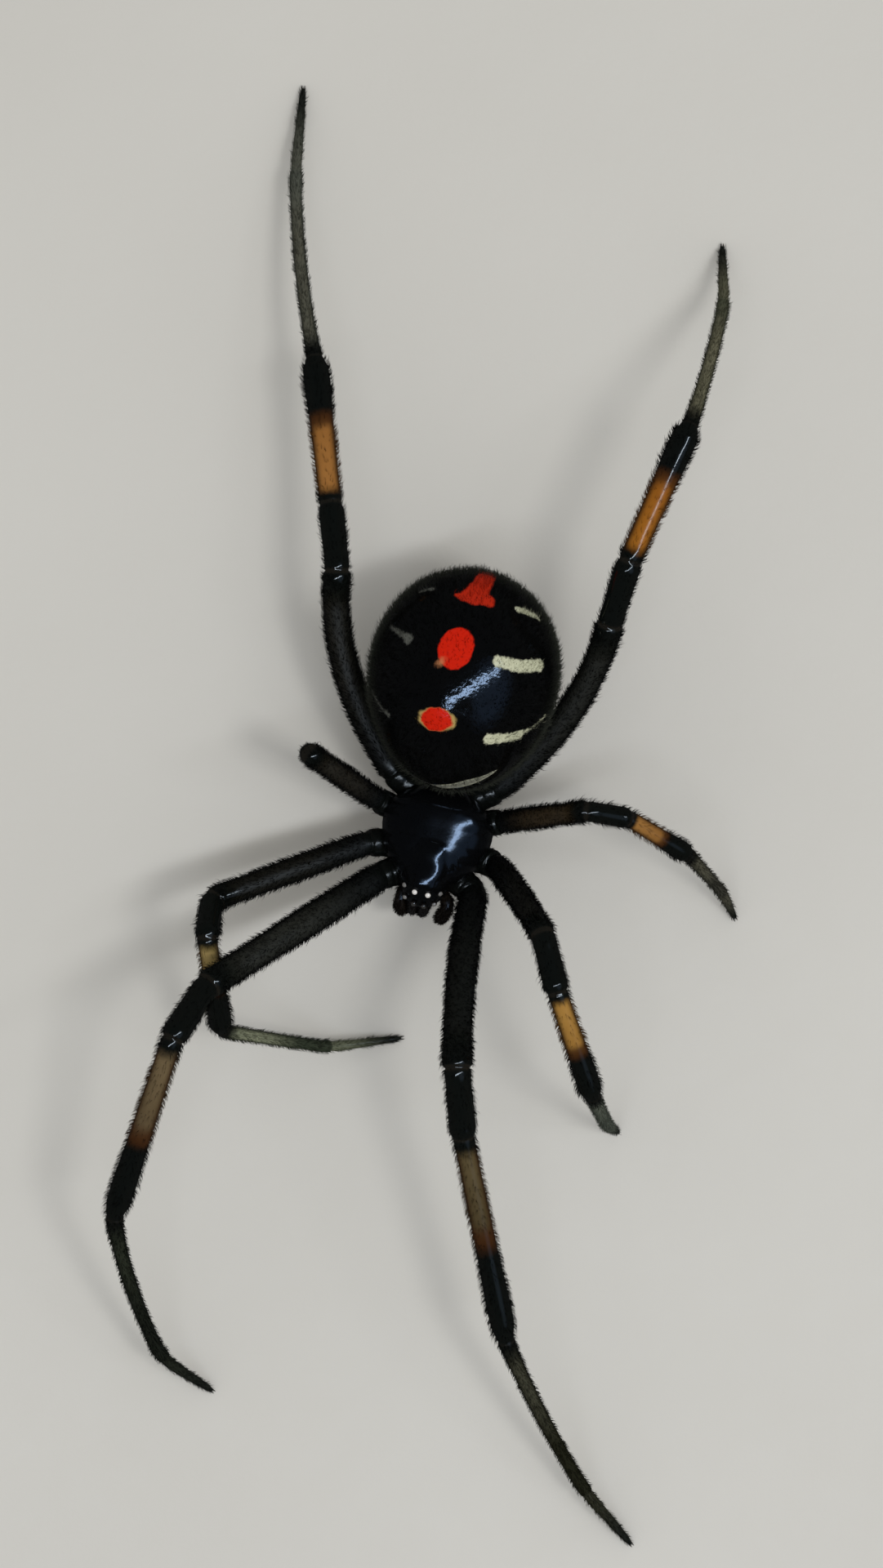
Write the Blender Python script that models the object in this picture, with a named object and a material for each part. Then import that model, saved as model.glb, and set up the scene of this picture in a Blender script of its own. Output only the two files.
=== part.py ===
"""Black widow spider, a young female, as a life-size still model.

The body lies along Y with its head towards -Y, its back up, and the spider's left side at +X.
It stands on the ends of its eight legs, which are cut flat at the floor, z = 0.
All sizes below are millimetres, and each finished mesh is scaled to metres.
"""

import math

import bmesh
import bpy
from mathutils import Matrix, Vector

METRES_PER_MM = 0.001

# Moves the body's own origin, under the middle of the carapace, so that the whole spider is centred.
STAND_SHIFT = (-0.82, -0.765, 0.0)

# The head and its shield are turned a little to the spider's right in this pose, in degrees.
HEAD_TURN = -4.0

# The gap that parts the nodes. The leg is half a millimetre thick, so a wider one would show as a cut.
GAP = 0.1

# Abdomen
ABDOMEN_CENTRE = (0.0, 4.16, 3.6)
ABDOMEN_HALF_LENGTH = 2.83
ABDOMEN_HALF_WIDTH = 2.40
ABDOMEN_HALF_HEIGHT = 2.38
ABDOMEN_REAR_SWELL = 0.05
ABDOMEN_FRONT_LIFT = 0.28

# Carapace, with y stations from -1 at its front to 1 at its rear
CARAPACE_FRONT = -1.78
CARAPACE_REAR = 1.48
CARAPACE_RIM_HEIGHT = 2.42
CARAPACE_HALF_WIDTH = ((-1.0, 0.64), (-0.62, 0.70), (-0.3, 1.06), (0.1, 1.42), (0.5, 1.40), (1.0, 0.85))
CARAPACE_TOP = ((-1.0, 0.54), (-0.6, 0.88), (-0.15, 0.84), (0.3, 0.68), (0.7, 0.50), (1.0, 0.26))
CARAPACE_KEEL_DEPTH = ((-1.0, 0.52), (-0.4, 0.80), (0.4, 0.80), (1.0, 0.46))
CARAPACE_KEEL_NARROWING = 0.50
CARAPACE_BLUNTNESS = 2.8
FOVEA = (0.0, 0.30)
FOVEA_RADIUS = 0.17
FOVEA_DEPTH = 0.09
GROOVE_DEPTH = 0.055
GROOVE_HALF_WIDTH = 0.07
GROOVE_REACH = (0.28, 1.40)
GROOVE_HEADINGS = (-63.0, -25.0, 8.0, 42.0)

# Eyes: half the distance between the pair, place along the body, place up the face, radius
EYE_PAIRS = (
    ("front_middle", 0.13, -1.72, 2.78, 0.085),
    ("front_side", 0.38, -1.60, 2.78, 0.075),
    ("rear_middle", 0.17, -1.48, 3.06, 0.085),
    ("rear_side", 0.46, -1.34, 2.96, 0.080),
)

# Sternum
STERNUM_CENTRE = (0.0, -0.05, 1.30)
STERNUM_HALF_LENGTH = 1.05
STERNUM_HALF_HEIGHT = 0.20
STERNUM_HALF_WIDTH = ((-1.0, 0.66), (-0.3, 0.80), (0.4, 0.62), (1.0, 0.22))

# Jaws, palps, waist and spinnerets: the points of each centreline and the radius at each point
CHELICERA = (((0.175, -1.54, 2.42), 0.135), ((0.185, -1.68, 2.12), 0.155), ((0.170, -1.84, 1.76), 0.140),
             ((0.145, -1.93, 1.40), 0.115), ((0.115, -1.92, 1.14), 0.075))
# The left palp is held out a little, the right one is tucked in beside the jaws.
PALPS = {
    "left": (((0.42, -1.24, 1.78), 0.140), ((0.63, -1.42, 1.93), 0.150), ((0.735, -1.60, 2.05), 0.150),
             ((0.72, -1.78, 1.93), 0.150), ((0.685, -1.91, 1.64), 0.145), ((0.65, -1.98, 1.28), 0.095)),
    "right": (((-0.37, -1.36, 1.76), 0.130), ((-0.49, -1.50, 1.88), 0.145), ((-0.51, -1.65, 1.95), 0.145),
              ((-0.48, -1.81, 1.85), 0.145), ((-0.435, -1.94, 1.57), 0.140), ((-0.385, -2.01, 1.24), 0.095)),
}
PEDICEL = (((0.0, 1.05, 2.22), 0.22), ((0.0, 1.62, 2.28), 0.20), ((0.0, 2.30, 2.55), 0.24))
SPINNERET_MOUND = (((0.0, 5.60, 2.40), 0.62), ((0.0, 5.84, 1.90), 0.56), ((0.0, 5.94, 1.62), 0.46))
SPINNERET_RADIUS = 0.18
SPINNERET_TIP_RADIUS = 0.11
SPINNERET_LENGTH = 0.46
SPINNERETS = ((0.24, 5.76, 1.62), (0.15, 5.96, 1.58), (0.25, 6.14, 1.68))
SPINNERET_SPLAY = (0.30, 0.30, -1.0)

# Where the coxae start beside the keel and where they end, on the spider's left side
COXA_START = {1: (0.45, -0.74, 1.80), 2: (0.52, -0.20, 1.82), 3: (0.52, 0.44, 1.82), 4: (0.42, 1.00, 1.80)}
COXA_END = {1: (1.24, -1.18, 2.08), 2: (1.66, -0.36, 2.10), 3: (1.62, 0.74, 2.10), 4: (1.34, 1.52, 2.06)}

# Radius along each kind of leg part, as (share of its length, share of the pair's radius)
SEGMENTS = ("coxa", "femur", "patella", "tibia", "metatarsus", "tarsus")
TAPER = {
    "coxa": ((0.0, 0.72), (0.45, 1.00), (0.68, 0.95), (0.76, 0.84), (0.88, 0.94), (1.0, 0.84)),
    "femur": ((0.0, 0.88), (0.1, 0.95), (0.4, 1.00), (0.8, 0.93), (1.0, 0.86)),
    "patella": ((0.0, 0.88), (0.3, 1.00), (0.8, 0.92), (1.0, 0.80)),
    "tibia": ((0.0, 0.80), (0.15, 0.84), (0.6, 0.92), (0.84, 1.06), (1.0, 0.82)),
    "metatarsus": ((0.0, 1.10), (0.12, 1.00), (0.9, 0.98), (1.0, 1.04)),
    "tarsus": ((0.0, 0.92), (0.5, 0.80), (1.0, 0.44)),
}
SIDES = {"coxa": 3, "femur": 3, "patella": 3, "tibia": 3, "metatarsus": 2, "tarsus": 2}
STEPS = {"coxa": 7, "femur": 9, "patella": 5, "tibia": 7, "metatarsus": 7, "tarsus": 6}
RADIUS = {
    1: {"coxa": 0.37, "femur": 0.370, "patella": 0.340, "tibia": 0.300, "metatarsus": 0.245, "tarsus": 0.245},
    2: {"coxa": 0.37, "femur": 0.315, "patella": 0.310, "tibia": 0.295, "metatarsus": 0.240, "tarsus": 0.240},
    3: {"coxa": 0.34, "femur": 0.285, "patella": 0.270, "tibia": 0.255, "metatarsus": 0.240, "tarsus": 0.240},
    4: {"coxa": 0.37, "femur": 0.345, "patella": 0.330, "tibia": 0.325, "metatarsus": 0.245, "tarsus": 0.245},
}

# Each leg part from femur to tarsus: heading from +X in degrees, run over the floor, height of its end
LEGS = {
    ("left", 1): ((-86, 4.33, 6.30), (-75, 1.78, 5.45), (-68.4, 5.45, 3.85), (-53.4, 4.70, 1.00), (-40.6, 1.90, 0.08)),
    ("right", 1): ((-138, 5.08, 5.80), (-112.5, 1.53, 6.95), (-99, 4.89, 4.80), (-64.7, 4.08, 1.42), (-28, 1.56, 0.08)),
    ("left", 2): ((-46, 2.04, 6.30), (-66, 1.50, 6.45), (-61, 2.86, 5.30), (-54, 1.01, 1.85), (-30, 0.42, 0.08)),
    ("right", 2): ((-150, 4.25, 3.72), (-85, 0.95, 4.85), (-73, 2.46, 3.00), (-1, 2.76, 0.78), (16.5, 1.88, 0.08)),
    ("left", 3): ((18, 2.16, 4.60), (0, 1.09, 4.10), (-21, 1.85, 3.10), (-36, 1.39, 1.02), (-52, 0.77, 0.08)),
    ("right", 3): ((155, 2.13, 4.64), (-25, 0.25, 3.50), (-25, 1.00, 1.72), (-27, 1.95, 0.48), (-30, 1.00, 0.08)),
    ("left", 4): ((66, 5.12, 4.80), (83, 1.62, 5.50), (76, 3.77, 5.35), (83, 3.55, 1.65), (99, 1.60, 0.08)),
    ("right", 4): ((115.5, 5.36, 3.57), (106, 1.74, 3.10), (106.5, 3.84, 2.42), (106, 4.98, 0.85), (95.5, 2.25, 0.08)),
}
# How far the middle of a leg part bows to the spider's left (first number) and up (second number)
BOWS = {
    ("left", 1, "femur"): (-0.12, 0.15),
    ("left", 1, "metatarsus"): (-0.10, 0.12),
    ("right", 1, "femur"): (0.0, 0.15),
    ("right", 1, "metatarsus"): (-0.16, 0.12),
    ("left", 2, "femur"): (0.05, 0.10),
    ("left", 2, "metatarsus"): (0.0, 0.10),
    ("right", 2, "femur"): (0.0, 0.12),
    ("right", 2, "metatarsus"): (0.0, 0.12),
    ("left", 3, "femur"): (0.0, 0.12),
    ("right", 3, "femur"): (0.0, 0.12),
    ("left", 4, "femur"): (0.46, -0.18),
    ("left", 4, "metatarsus"): (0.05, 0.15),
    ("right", 4, "femur"): (-0.52, -0.22),
    ("right", 4, "metatarsus"): (-0.12, 0.10),
}
SEGMENT_OVERRUN = 0.5
TARSUS_OVERRUN = 0.35

BLACK_CUTICLE = ("black cuticle", (0.010, 0.010, 0.013), 0.22)
DARK_BROWN = ("dark brown cuticle", (0.030, 0.018, 0.012), 0.35)
AMBER = ("amber cuticle", (0.33, 0.15, 0.035), 0.35)
GREY_BROWN = ("grey-brown cuticle", (0.085, 0.080, 0.068), 0.45)
SEGMENT_FINISH = {"coxa": BLACK_CUTICLE, "femur": DARK_BROWN, "patella": BLACK_CUTICLE, "tibia": AMBER,
                  "metatarsus": GREY_BROWN, "tarsus": DARK_BROWN}


def clear_scene():
    for thing in list(bpy.data.objects):
        bpy.data.objects.remove(thing, do_unlink=True)


def finish_material(finish):
    name, colour, roughness = finish
    material = bpy.data.materials.get(name)
    if material is None:
        material = bpy.data.materials.new(name)
        material.use_nodes = True
        shader = material.node_tree.nodes["Principled BSDF"]
        shader.inputs["Base Color"].default_value = (*colour, 1.0)
        shader.inputs["Roughness"].default_value = roughness
        shader.inputs["Metallic"].default_value = 0.0
    return material


def read_stations(stations, place):
    """The value at a place between named stations, eased from each one to the next."""
    if place <= stations[0][0]:
        return stations[0][1]
    for (start, low), (end, high) in zip(stations, stations[1:]):
        if place <= end:
            share = (place - start) / (end - start)
            share = share * share * (3.0 - 2.0 * share)
            return low + (high - low) * share
    return stations[-1][1]


def on_side(point, side):
    """A point given for the left side, or its mirror image on the right."""
    return Vector((point[0] if side == "left" else -point[0], point[1], point[2]))


def turned(point):
    """A point of the head or its shield, turned with them about the body's origin."""
    return Matrix.Rotation(math.radians(HEAD_TURN), 3, "Z") @ Vector(point)


def new_object(name, mesh, collection):
    thing = bpy.data.objects.new(name, mesh)
    collection.objects.link(thing)
    return thing


def ball(name, segments, rings, move, collection):
    """A sphere with its poles along Y, whose points are each moved by the function given."""
    cage = bmesh.new()
    bmesh.ops.create_uvsphere(cage, u_segments=segments, v_segments=rings, radius=1.0)
    bmesh.ops.rotate(cage, verts=cage.verts, matrix=Matrix.Rotation(math.pi / 2, 3, "X"))
    for vertex in cage.verts:
        vertex.co = move(*vertex.co)
    bmesh.ops.triangulate(cage, faces=cage.faces)
    mesh = bpy.data.meshes.new(name)
    cage.to_mesh(mesh)
    cage.free()
    return new_object(name, mesh, collection)


def tube(name, points, radii, bevel_resolution, collection):
    """A round tube along the points, with filled ends, as one closed mesh."""
    curve = bpy.data.curves.new(name, "CURVE")
    curve.dimensions = "3D"
    curve.bevel_depth = 1.0
    curve.bevel_resolution = bevel_resolution
    curve.use_fill_caps = True
    spline = curve.splines.new("POLY")
    spline.points.add(len(points) - 1)
    for spot, point, radius in zip(spline.points, points, radii):
        spot.co = (*point, 1.0)
        spot.radius = radius
    guide = new_object(name + "_guide", curve, collection)
    bpy.context.view_layer.update()
    shape = guide.evaluated_get(bpy.context.evaluated_depsgraph_get())
    mesh = bpy.data.meshes.new_from_object(shape)
    mesh.name = name
    bpy.data.objects.remove(guide, do_unlink=True)
    body = bmesh.new()
    body.from_mesh(mesh)
    bmesh.ops.remove_doubles(body, verts=body.verts, dist=1e-4)
    bmesh.ops.recalc_face_normals(body, faces=body.faces)
    body.to_mesh(mesh)
    body.free()
    return new_object(name, mesh, collection)


def cut_flat(thing, point, normal):
    """Removes what lies past the plane, on the side its normal points to, and closes the cut."""
    body = bmesh.new()
    body.from_mesh(thing.data)
    geometry = body.verts[:] + body.edges[:] + body.faces[:]
    cut = bmesh.ops.bisect_plane(body, geom=geometry, plane_co=point, plane_no=normal, clear_outer=True)
    rim = [piece for piece in cut["geom_cut"] if isinstance(piece, bmesh.types.BMEdge)]
    bmesh.ops.contextual_create(body, geom=rim)
    bmesh.ops.recalc_face_normals(body, faces=body.faces)
    body.to_mesh(thing.data)
    body.free()


def apply_modifiers(thing):
    bpy.context.view_layer.update()
    shape = thing.evaluated_get(bpy.context.evaluated_depsgraph_get())
    mesh = bpy.data.meshes.new_from_object(shape)
    thing.modifiers.clear()
    thing.data = mesh


def keep_largest(thing):
    """Drops every closed surface but the largest."""
    body = bmesh.new()
    body.from_mesh(thing.data)
    left = set(body.verts)
    shells = []
    while left:
        front = [left.pop()]
        shell = set(front)
        while front:
            for edge in front.pop().link_edges:
                for vertex in edge.verts:
                    if vertex in left:
                        left.remove(vertex)
                        shell.add(vertex)
                        front.append(vertex)
        shells.append(shell)
    largest = max(shells, key=len)
    bmesh.ops.delete(body, geom=[v for v in body.verts if v not in largest], context="VERTS")
    bmesh.ops.triangulate(body, faces=body.faces)
    body.to_mesh(thing.data)
    body.free()


def cut_away(thing, cutter):
    """Takes the cutter's shape out of the thing and removes the cutter."""
    cut = thing.modifiers.new("cut", "BOOLEAN")
    cut.operation = "DIFFERENCE"
    cut.object = cutter
    apply_modifiers(thing)
    bpy.data.objects.remove(cutter, do_unlink=True)
    keep_largest(thing)


def join_all(thing, additions, helpers):
    """Joins every addition to the thing in one union."""
    group = bpy.data.collections.new(thing.name + "_additions")
    helpers.children.link(group)
    for addition in additions:
        helpers.objects.unlink(addition)
        group.objects.link(addition)
    union = thing.modifiers.new("join", "BOOLEAN")
    union.operation = "UNION"
    union.operand_type = "COLLECTION"
    union.collection = group
    apply_modifiers(thing)
    for addition in additions:
        bpy.data.objects.remove(addition, do_unlink=True)
    bpy.data.collections.remove(group)
    keep_largest(thing)


def finish_part(thing, finish, origin, spider):
    """Scales the mesh to metres about its own origin and hangs the part on the spider's empty."""
    origin = Vector(origin)
    thing.data.transform(Matrix.Translation(-origin))
    thing.data.transform(Matrix.Scale(METRES_PER_MM, 4))
    thing.location = origin * METRES_PER_MM
    thing.parent = spider
    thing.data.materials.clear()
    thing.data.materials.append(finish_material(finish))
    thing.data.shade_smooth()
    thing.data.set_sharp_from_angle(angle=math.radians(50))


def abdomen_shape(name, collection, grow=0.0):
    """An egg, a little fuller behind, whose front end is lifted over the waist."""

    def move(x, y, z):
        swell = 1.0 + ABDOMEN_REAR_SWELL * y
        lift = ABDOMEN_FRONT_LIFT * max(0.0, -y) ** 2
        return Vector((
            ABDOMEN_CENTRE[0] + x * (ABDOMEN_HALF_WIDTH + grow) * swell,
            ABDOMEN_CENTRE[1] + y * (ABDOMEN_HALF_LENGTH + grow),
            ABDOMEN_CENTRE[2] + z * (ABDOMEN_HALF_HEIGHT + grow) * swell + lift,
        ))

    return ball(name, 30, 20, move, collection)


def groove_depth(x, y):
    """How deep the pit and the furrows that run out from it are pressed at a place on the back."""
    away_x = abs(x) - FOVEA[0]
    away_y = y - FOVEA[1]
    distance = math.hypot(away_x, away_y)
    depth = FOVEA_DEPTH * math.exp(-((distance / FOVEA_RADIUS) ** 2))
    for heading in GROOVE_HEADINGS:
        run = Vector((math.cos(math.radians(heading)), math.sin(math.radians(heading))))
        along = away_x * run.x + away_y * run.y
        across = away_x * run.y - away_y * run.x
        if GROOVE_REACH[0] < along < GROOVE_REACH[1]:
            share = (along - GROOVE_REACH[0]) / (GROOVE_REACH[1] - GROOVE_REACH[0])
            fade = math.sin(math.pi * share)
            depth += GROOVE_DEPTH * fade * math.exp(-((across / GROOVE_HALF_WIDTH) ** 2))
    return depth


def carapace_shape(name, collection, grow=0.0):
    """The shield over the head and legs: narrow high head, wide back with furrows, narrow keel below."""
    middle = (CARAPACE_FRONT + CARAPACE_REAR) / 2
    half_length = (CARAPACE_REAR - CARAPACE_FRONT) / 2

    def move(x, y, z):
        ring = math.sqrt(max(1e-9, 1.0 - y * y))
        across, up = x / ring, z / ring
        blunt = max(0.0, 1.0 - abs(y) ** CARAPACE_BLUNTNESS) ** (1.0 / CARAPACE_BLUNTNESS)
        half_width = read_stations(CARAPACE_HALF_WIDTH, y) * blunt + grow
        top = read_stations(CARAPACE_TOP, y) * blunt + grow
        keel = read_stations(CARAPACE_KEEL_DEPTH, y) * blunt + grow
        narrowing = 1.0 - CARAPACE_KEEL_NARROWING * max(0.0, -up) ** 0.7
        place_x = across * half_width * narrowing
        place_y = middle + y * (half_length + grow)
        place_z = CARAPACE_RIM_HEIGHT + up * (top if up > 0.0 else keel)
        if up > 0.2 and grow == 0.0:
            place_z -= groove_depth(place_x, place_y)
        return turned((place_x, place_y, place_z))

    return ball(name, 36, 26, move, collection)


def sternum_shape(name, collection):
    """The heart-shaped plate under the body, widest in front and pointed behind."""

    def move(x, y, z):
        ring = math.sqrt(max(1e-9, 1.0 - y * y))
        half_width = read_stations(STERNUM_HALF_WIDTH, y)
        return Vector((
            STERNUM_CENTRE[0] + x * half_width,
            STERNUM_CENTRE[1] + y * STERNUM_HALF_LENGTH,
            STERNUM_CENTRE[2] + z / ring * STERNUM_HALF_HEIGHT * ring ** 0.6,
        ))

    return ball(name, 18, 12, move, collection)


def make_carapace(helpers, spider, nodes):
    carapace = carapace_shape("carapace", nodes)
    eyes = []
    for name, half_spread, along, height, radius in EYE_PAIRS:
        for side in ("left", "right"):
            place = turned(on_side((half_spread, along, height), side))
            eyes.append(ball(f"eye_{name}_{side}", 8, 6, lambda x, y, z: place + radius * Vector((x, y, z)), helpers))
    join_all(carapace, eyes, helpers)
    finish_part(carapace, BLACK_CUTICLE, (0.0, 0.0, CARAPACE_RIM_HEIGHT), spider)


def make_abdomen(spider, nodes):
    abdomen = abdomen_shape("abdomen", nodes)
    finish_part(abdomen, BLACK_CUTICLE, ABDOMEN_CENTRE, spider)


def make_sternum(spider, nodes):
    sternum = sternum_shape("sternum", nodes)
    finish_part(sternum, DARK_BROWN, STERNUM_CENTRE, spider)


def route_tube(name, route, side, bevel_resolution, collection, with_head=False):
    points = [on_side(point, side) for point, radius in route]
    if with_head:
        points = [turned(point) for point in points]
    radii = [radius for point, radius in route]
    return tube(name, points, radii, bevel_resolution, collection)


def make_jaws_and_palps(helpers, spider, nodes):
    for side in ("left", "right"):
        chelicera = route_tube(f"chelicera_{side}", CHELICERA, side, 3, nodes, True)
        cut_away(chelicera, carapace_shape("face", helpers, GAP))
        finish_part(chelicera, BLACK_CUTICLE, turned(on_side(CHELICERA[0][0], side)), spider)
        palp = route_tube(f"palp_{side}", PALPS[side], "left", 3, nodes, True)
        cut_away(palp, carapace_shape("face", helpers, GAP))
        finish_part(palp, DARK_BROWN, turned(PALPS[side][0][0]), spider)


def make_pedicel(helpers, spider, nodes):
    pedicel = route_tube("pedicel", PEDICEL, "left", 3, nodes)
    cut_away(pedicel, carapace_shape("front_wall", helpers, GAP))
    cut_away(pedicel, abdomen_shape("rear_wall", helpers, GAP))
    finish_part(pedicel, DARK_BROWN, PEDICEL[1][0], spider)


def make_spinnerets(helpers, spider, nodes):
    spinnerets = route_tube("spinnerets", SPINNERET_MOUND, "left", 4, nodes)
    splay = Vector(SPINNERET_SPLAY).normalized()
    fingers = []
    for number, root in enumerate(SPINNERETS):
        for side in ("left", "right"):
            start = on_side(root, side)
            tip = start + on_side(splay, side) * SPINNERET_LENGTH * (0.8 if number == 1 else 1.0)
            fingers.append(tube(f"finger_{number}_{side}", [start, start.lerp(tip, 0.6), tip],
                                [SPINNERET_RADIUS, SPINNERET_RADIUS * 0.9, SPINNERET_TIP_RADIUS], 2, helpers))
    join_all(spinnerets, fingers, helpers)
    cut_away(spinnerets, abdomen_shape("belly", helpers, GAP))
    finish_part(spinnerets, DARK_BROWN, SPINNERET_MOUND[1][0], spider)


def leg_joints(side, number):
    """The joint points of a leg, from the start of its coxa to its tip on the floor."""
    joints = [on_side(COXA_START[number], side), on_side(COXA_END[number], side)]
    for heading, run, height in LEGS[side, number]:
        last = joints[-1]
        angle = math.radians(heading)
        joints.append(Vector((last.x + run * math.cos(angle), last.y + run * math.sin(angle), height)))
    return joints


def bend_point(start, end, bow):
    """The pull point of the curve between two joints, whose middle then bows by the amount given."""
    left, up = bow
    return (start + end) / 2 + Vector((2 * left, 0.0, 2 * up))


def curve_point(start, pull, end, share):
    return start.lerp(pull, share).lerp(pull.lerp(end, share), share)


def make_leg(side, number, helpers, spider, nodes):
    joints = leg_joints(side, number)
    pulls = []
    for kind, start, end in zip(SEGMENTS, joints, joints[1:]):
        pulls.append(bend_point(start, end, BOWS.get((side, number, kind), (0.0, 0.0))))
    planes = []
    for place in range(1, len(SEGMENTS)):
        joint = joints[place]
        arriving = (joint - pulls[place - 1]).normalized()
        leaving = (pulls[place] - joint).normalized()
        planes.append((joint, (arriving + leaving).normalized()))
    for place, kind in enumerate(SEGMENTS):
        start, pull, end = joints[place], pulls[place], joints[place + 1]
        steps = STEPS[kind]
        shares = [step / (steps - 1) for step in range(steps)]
        points = [curve_point(start, pull, end, share) for share in shares]
        radii = [RADIUS[number][kind] * read_stations(TAPER[kind], share) for share in shares]
        if place > 0:
            points.insert(0, start - (pull - start).normalized() * SEGMENT_OVERRUN)
            radii.insert(0, radii[0])
        overrun = TARSUS_OVERRUN if kind == "tarsus" else SEGMENT_OVERRUN
        points.append(end + (end - pull).normalized() * overrun)
        radii.append(radii[-1])
        part = tube(f"leg_{side}_{number}_{kind}", points, radii, SIDES[kind], nodes)
        if place > 0:
            joint, across = planes[place - 1]
            cut_flat(part, joint + across * GAP / 2, -across)
        if kind == "tarsus":
            cut_flat(part, Vector((0.0, 0.0, 0.0)), Vector((0.0, 0.0, -1.0)))
        else:
            joint, across = planes[place]
            cut_flat(part, joint - across * GAP / 2, across)
        if kind == "coxa":
            cut_away(part, carapace_shape("side_wall", helpers, GAP))
        finish_part(part, SEGMENT_FINISH[kind], start, spider)


def main():
    clear_scene()
    nodes = bpy.data.collections.new("black widow spider")
    helpers = bpy.data.collections.new("cutters")
    for collection in (nodes, helpers):
        bpy.context.scene.collection.children.link(collection)
    spider = bpy.data.objects.new("spider_place", None)
    spider.location = Vector(STAND_SHIFT) * METRES_PER_MM
    nodes.objects.link(spider)
    make_carapace(helpers, spider, nodes)
    make_abdomen(spider, nodes)
    make_sternum(spider, nodes)
    make_jaws_and_palps(helpers, spider, nodes)
    make_pedicel(helpers, spider, nodes)
    make_spinnerets(helpers, spider, nodes)
    for side, number in LEGS:
        make_leg(side, number, helpers, spider, nodes)


main()
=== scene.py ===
"""Black widow spider, a nearly grown female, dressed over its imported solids.

The spider lies along Y with its head towards -Y, and its left side is at +X. Shapes are worked out in
millimetres from the spot under the middle of the carapace, and written to their meshes in metres.
"""

import functools
import math

import bpy
import numpy as np
from mathutils import Matrix, Vector


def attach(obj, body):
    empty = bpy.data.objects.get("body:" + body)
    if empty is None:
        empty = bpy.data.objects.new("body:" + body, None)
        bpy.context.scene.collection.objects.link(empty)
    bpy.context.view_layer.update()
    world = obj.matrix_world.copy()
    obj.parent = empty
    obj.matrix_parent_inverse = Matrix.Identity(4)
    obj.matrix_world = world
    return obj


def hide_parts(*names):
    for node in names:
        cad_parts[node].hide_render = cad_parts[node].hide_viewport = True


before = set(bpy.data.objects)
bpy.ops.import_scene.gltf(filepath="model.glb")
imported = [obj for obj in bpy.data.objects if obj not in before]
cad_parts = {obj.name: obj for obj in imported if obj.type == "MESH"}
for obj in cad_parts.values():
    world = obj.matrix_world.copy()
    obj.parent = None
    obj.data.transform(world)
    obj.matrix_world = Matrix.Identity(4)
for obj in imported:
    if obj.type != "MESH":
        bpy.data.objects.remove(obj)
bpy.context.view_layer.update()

METRES = 0.001
STAND_SHIFT = np.array((-0.82, -0.765, 0.0))
SIDES = ("left", "right")
BODY = "root"
FORWARD = np.array((0.0, -1.0, 0.0))
UP = np.array((0.0, 0.0, 1.0))

# Abdomen, as in the solids
ABDOMEN_CENTRE = np.array((0.0, 4.16, 3.6))
ABDOMEN_HALF = np.array((2.4, 2.83, 2.38))
ABDOMEN_REAR_SWELL = 0.05
ABDOMEN_FRONT_LIFT = 0.28
# The pattern's own ways right, back and up: the abdomen is rolled and swung in this pose
PATTERN_WAYS = ((0.9776, -0.1119, 0.1772), (0.1101, 0.9937, 0.0199), (-0.1783, 0.0001, 0.9838))
WAIST_SPOT = (0.0, -0.93, -0.36)
SPINNERET_SPOT = (0.0, 0.62, -0.78)
ABDOMEN_HAIRS = 36000
ABDOMEN_HAIR_LENGTH = 0.13
ABDOMEN_HAIR_RADIUS = 0.0054
# Hairs keep this far from the waist and from the spinnerets, on a ball one in radius
WAIST_CLEAR = 0.22
SPINNERETS_CLEAR = 0.26
TALL_HAIR_SHARE = 0.25

# Carapace, along the solids
CARAPACE_FRONT = -1.78
CARAPACE_REAR = 1.48
CARAPACE_RIM_HEIGHT = 2.42
CARAPACE_HALF_WIDTH = ((-1.0, 0.64), (-0.62, 0.72), (-0.3, 1.12), (0.0, 1.33), (0.3, 1.43), (0.6, 1.38),
                       (1.0, 0.85))
# The head is a narrow ridge over the wider thorax: the width of one, and the height of each, along the shield
HEAD_HALF_WIDTH = ((-1.0, 0.64), (-0.62, 0.72), (-0.3, 0.72), (0.0, 0.66), (0.2, 0.6), (1.0, 0.4))
HEAD_TOP = ((-1.0, 0.62), (-0.951, 0.68), (-0.89, 0.789), (-0.773, 0.913), (-0.706, 0.985), (-0.645, 0.99),
            (-0.6, 0.975), (-0.552, 0.961), (-0.3, 0.8835), (-0.03, 0.862), (0.04, 0.838), (0.12, 0.74),
            (0.2, 0.6), (0.4, 0.3), (1.0, 0.1))
THORAX_TOP = ((-1.0, 0.5), (-0.8, 0.66), (-0.5, 0.761), (-0.2, 0.778), (0.0, 0.795), (0.104, 0.8015),
              (0.3, 0.8212), (0.51, 0.8643), (0.6, 0.8853), (0.7, 0.8777), (0.8, 0.8152), (1.0, 0.45))
CARAPACE_KEEL_DEPTH = ((-1.0, 0.52), (-0.4, 0.8), (0.4, 0.8), (1.0, 0.46))
CARAPACE_KEEL_NARROWING = 0.5
CARAPACE_BLUNTNESS = 2.8
CARAPACE_FLATNESS = 2.4
CREASE = 0.025
FOVEA = (0.0, 0.3)
GROOVE_REACH = (0.2, 1.42)
GROOVE_HEADINGS = (-52.0, -25.0, 8.0, 42.0)
# The head and its shield are turned a little to the spider's right in this pose, in degrees
HEAD_TURN = -4.0

# Half the distance between the pair, place along the body, height, radius, how pale its painted glint and
# pearl are
EYE_PAIRS = (
    ("front_middle", 0.13, -1.72, 2.78, 0.08, 0.05),
    ("front_side", 0.38, -1.6, 2.78, 0.075, 0.22),
    ("rear_middle", 0.17, -1.41, 3.11, 0.086, 1.0),
    ("rear_side", 0.46, -1.3, 2.97, 0.078, 0.22),
)

EYE_SWELLING = 0.03
# Each lens faces away from here
HEAD_MIDDLE = np.array((0.0, -0.9, 2.3))

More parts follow.
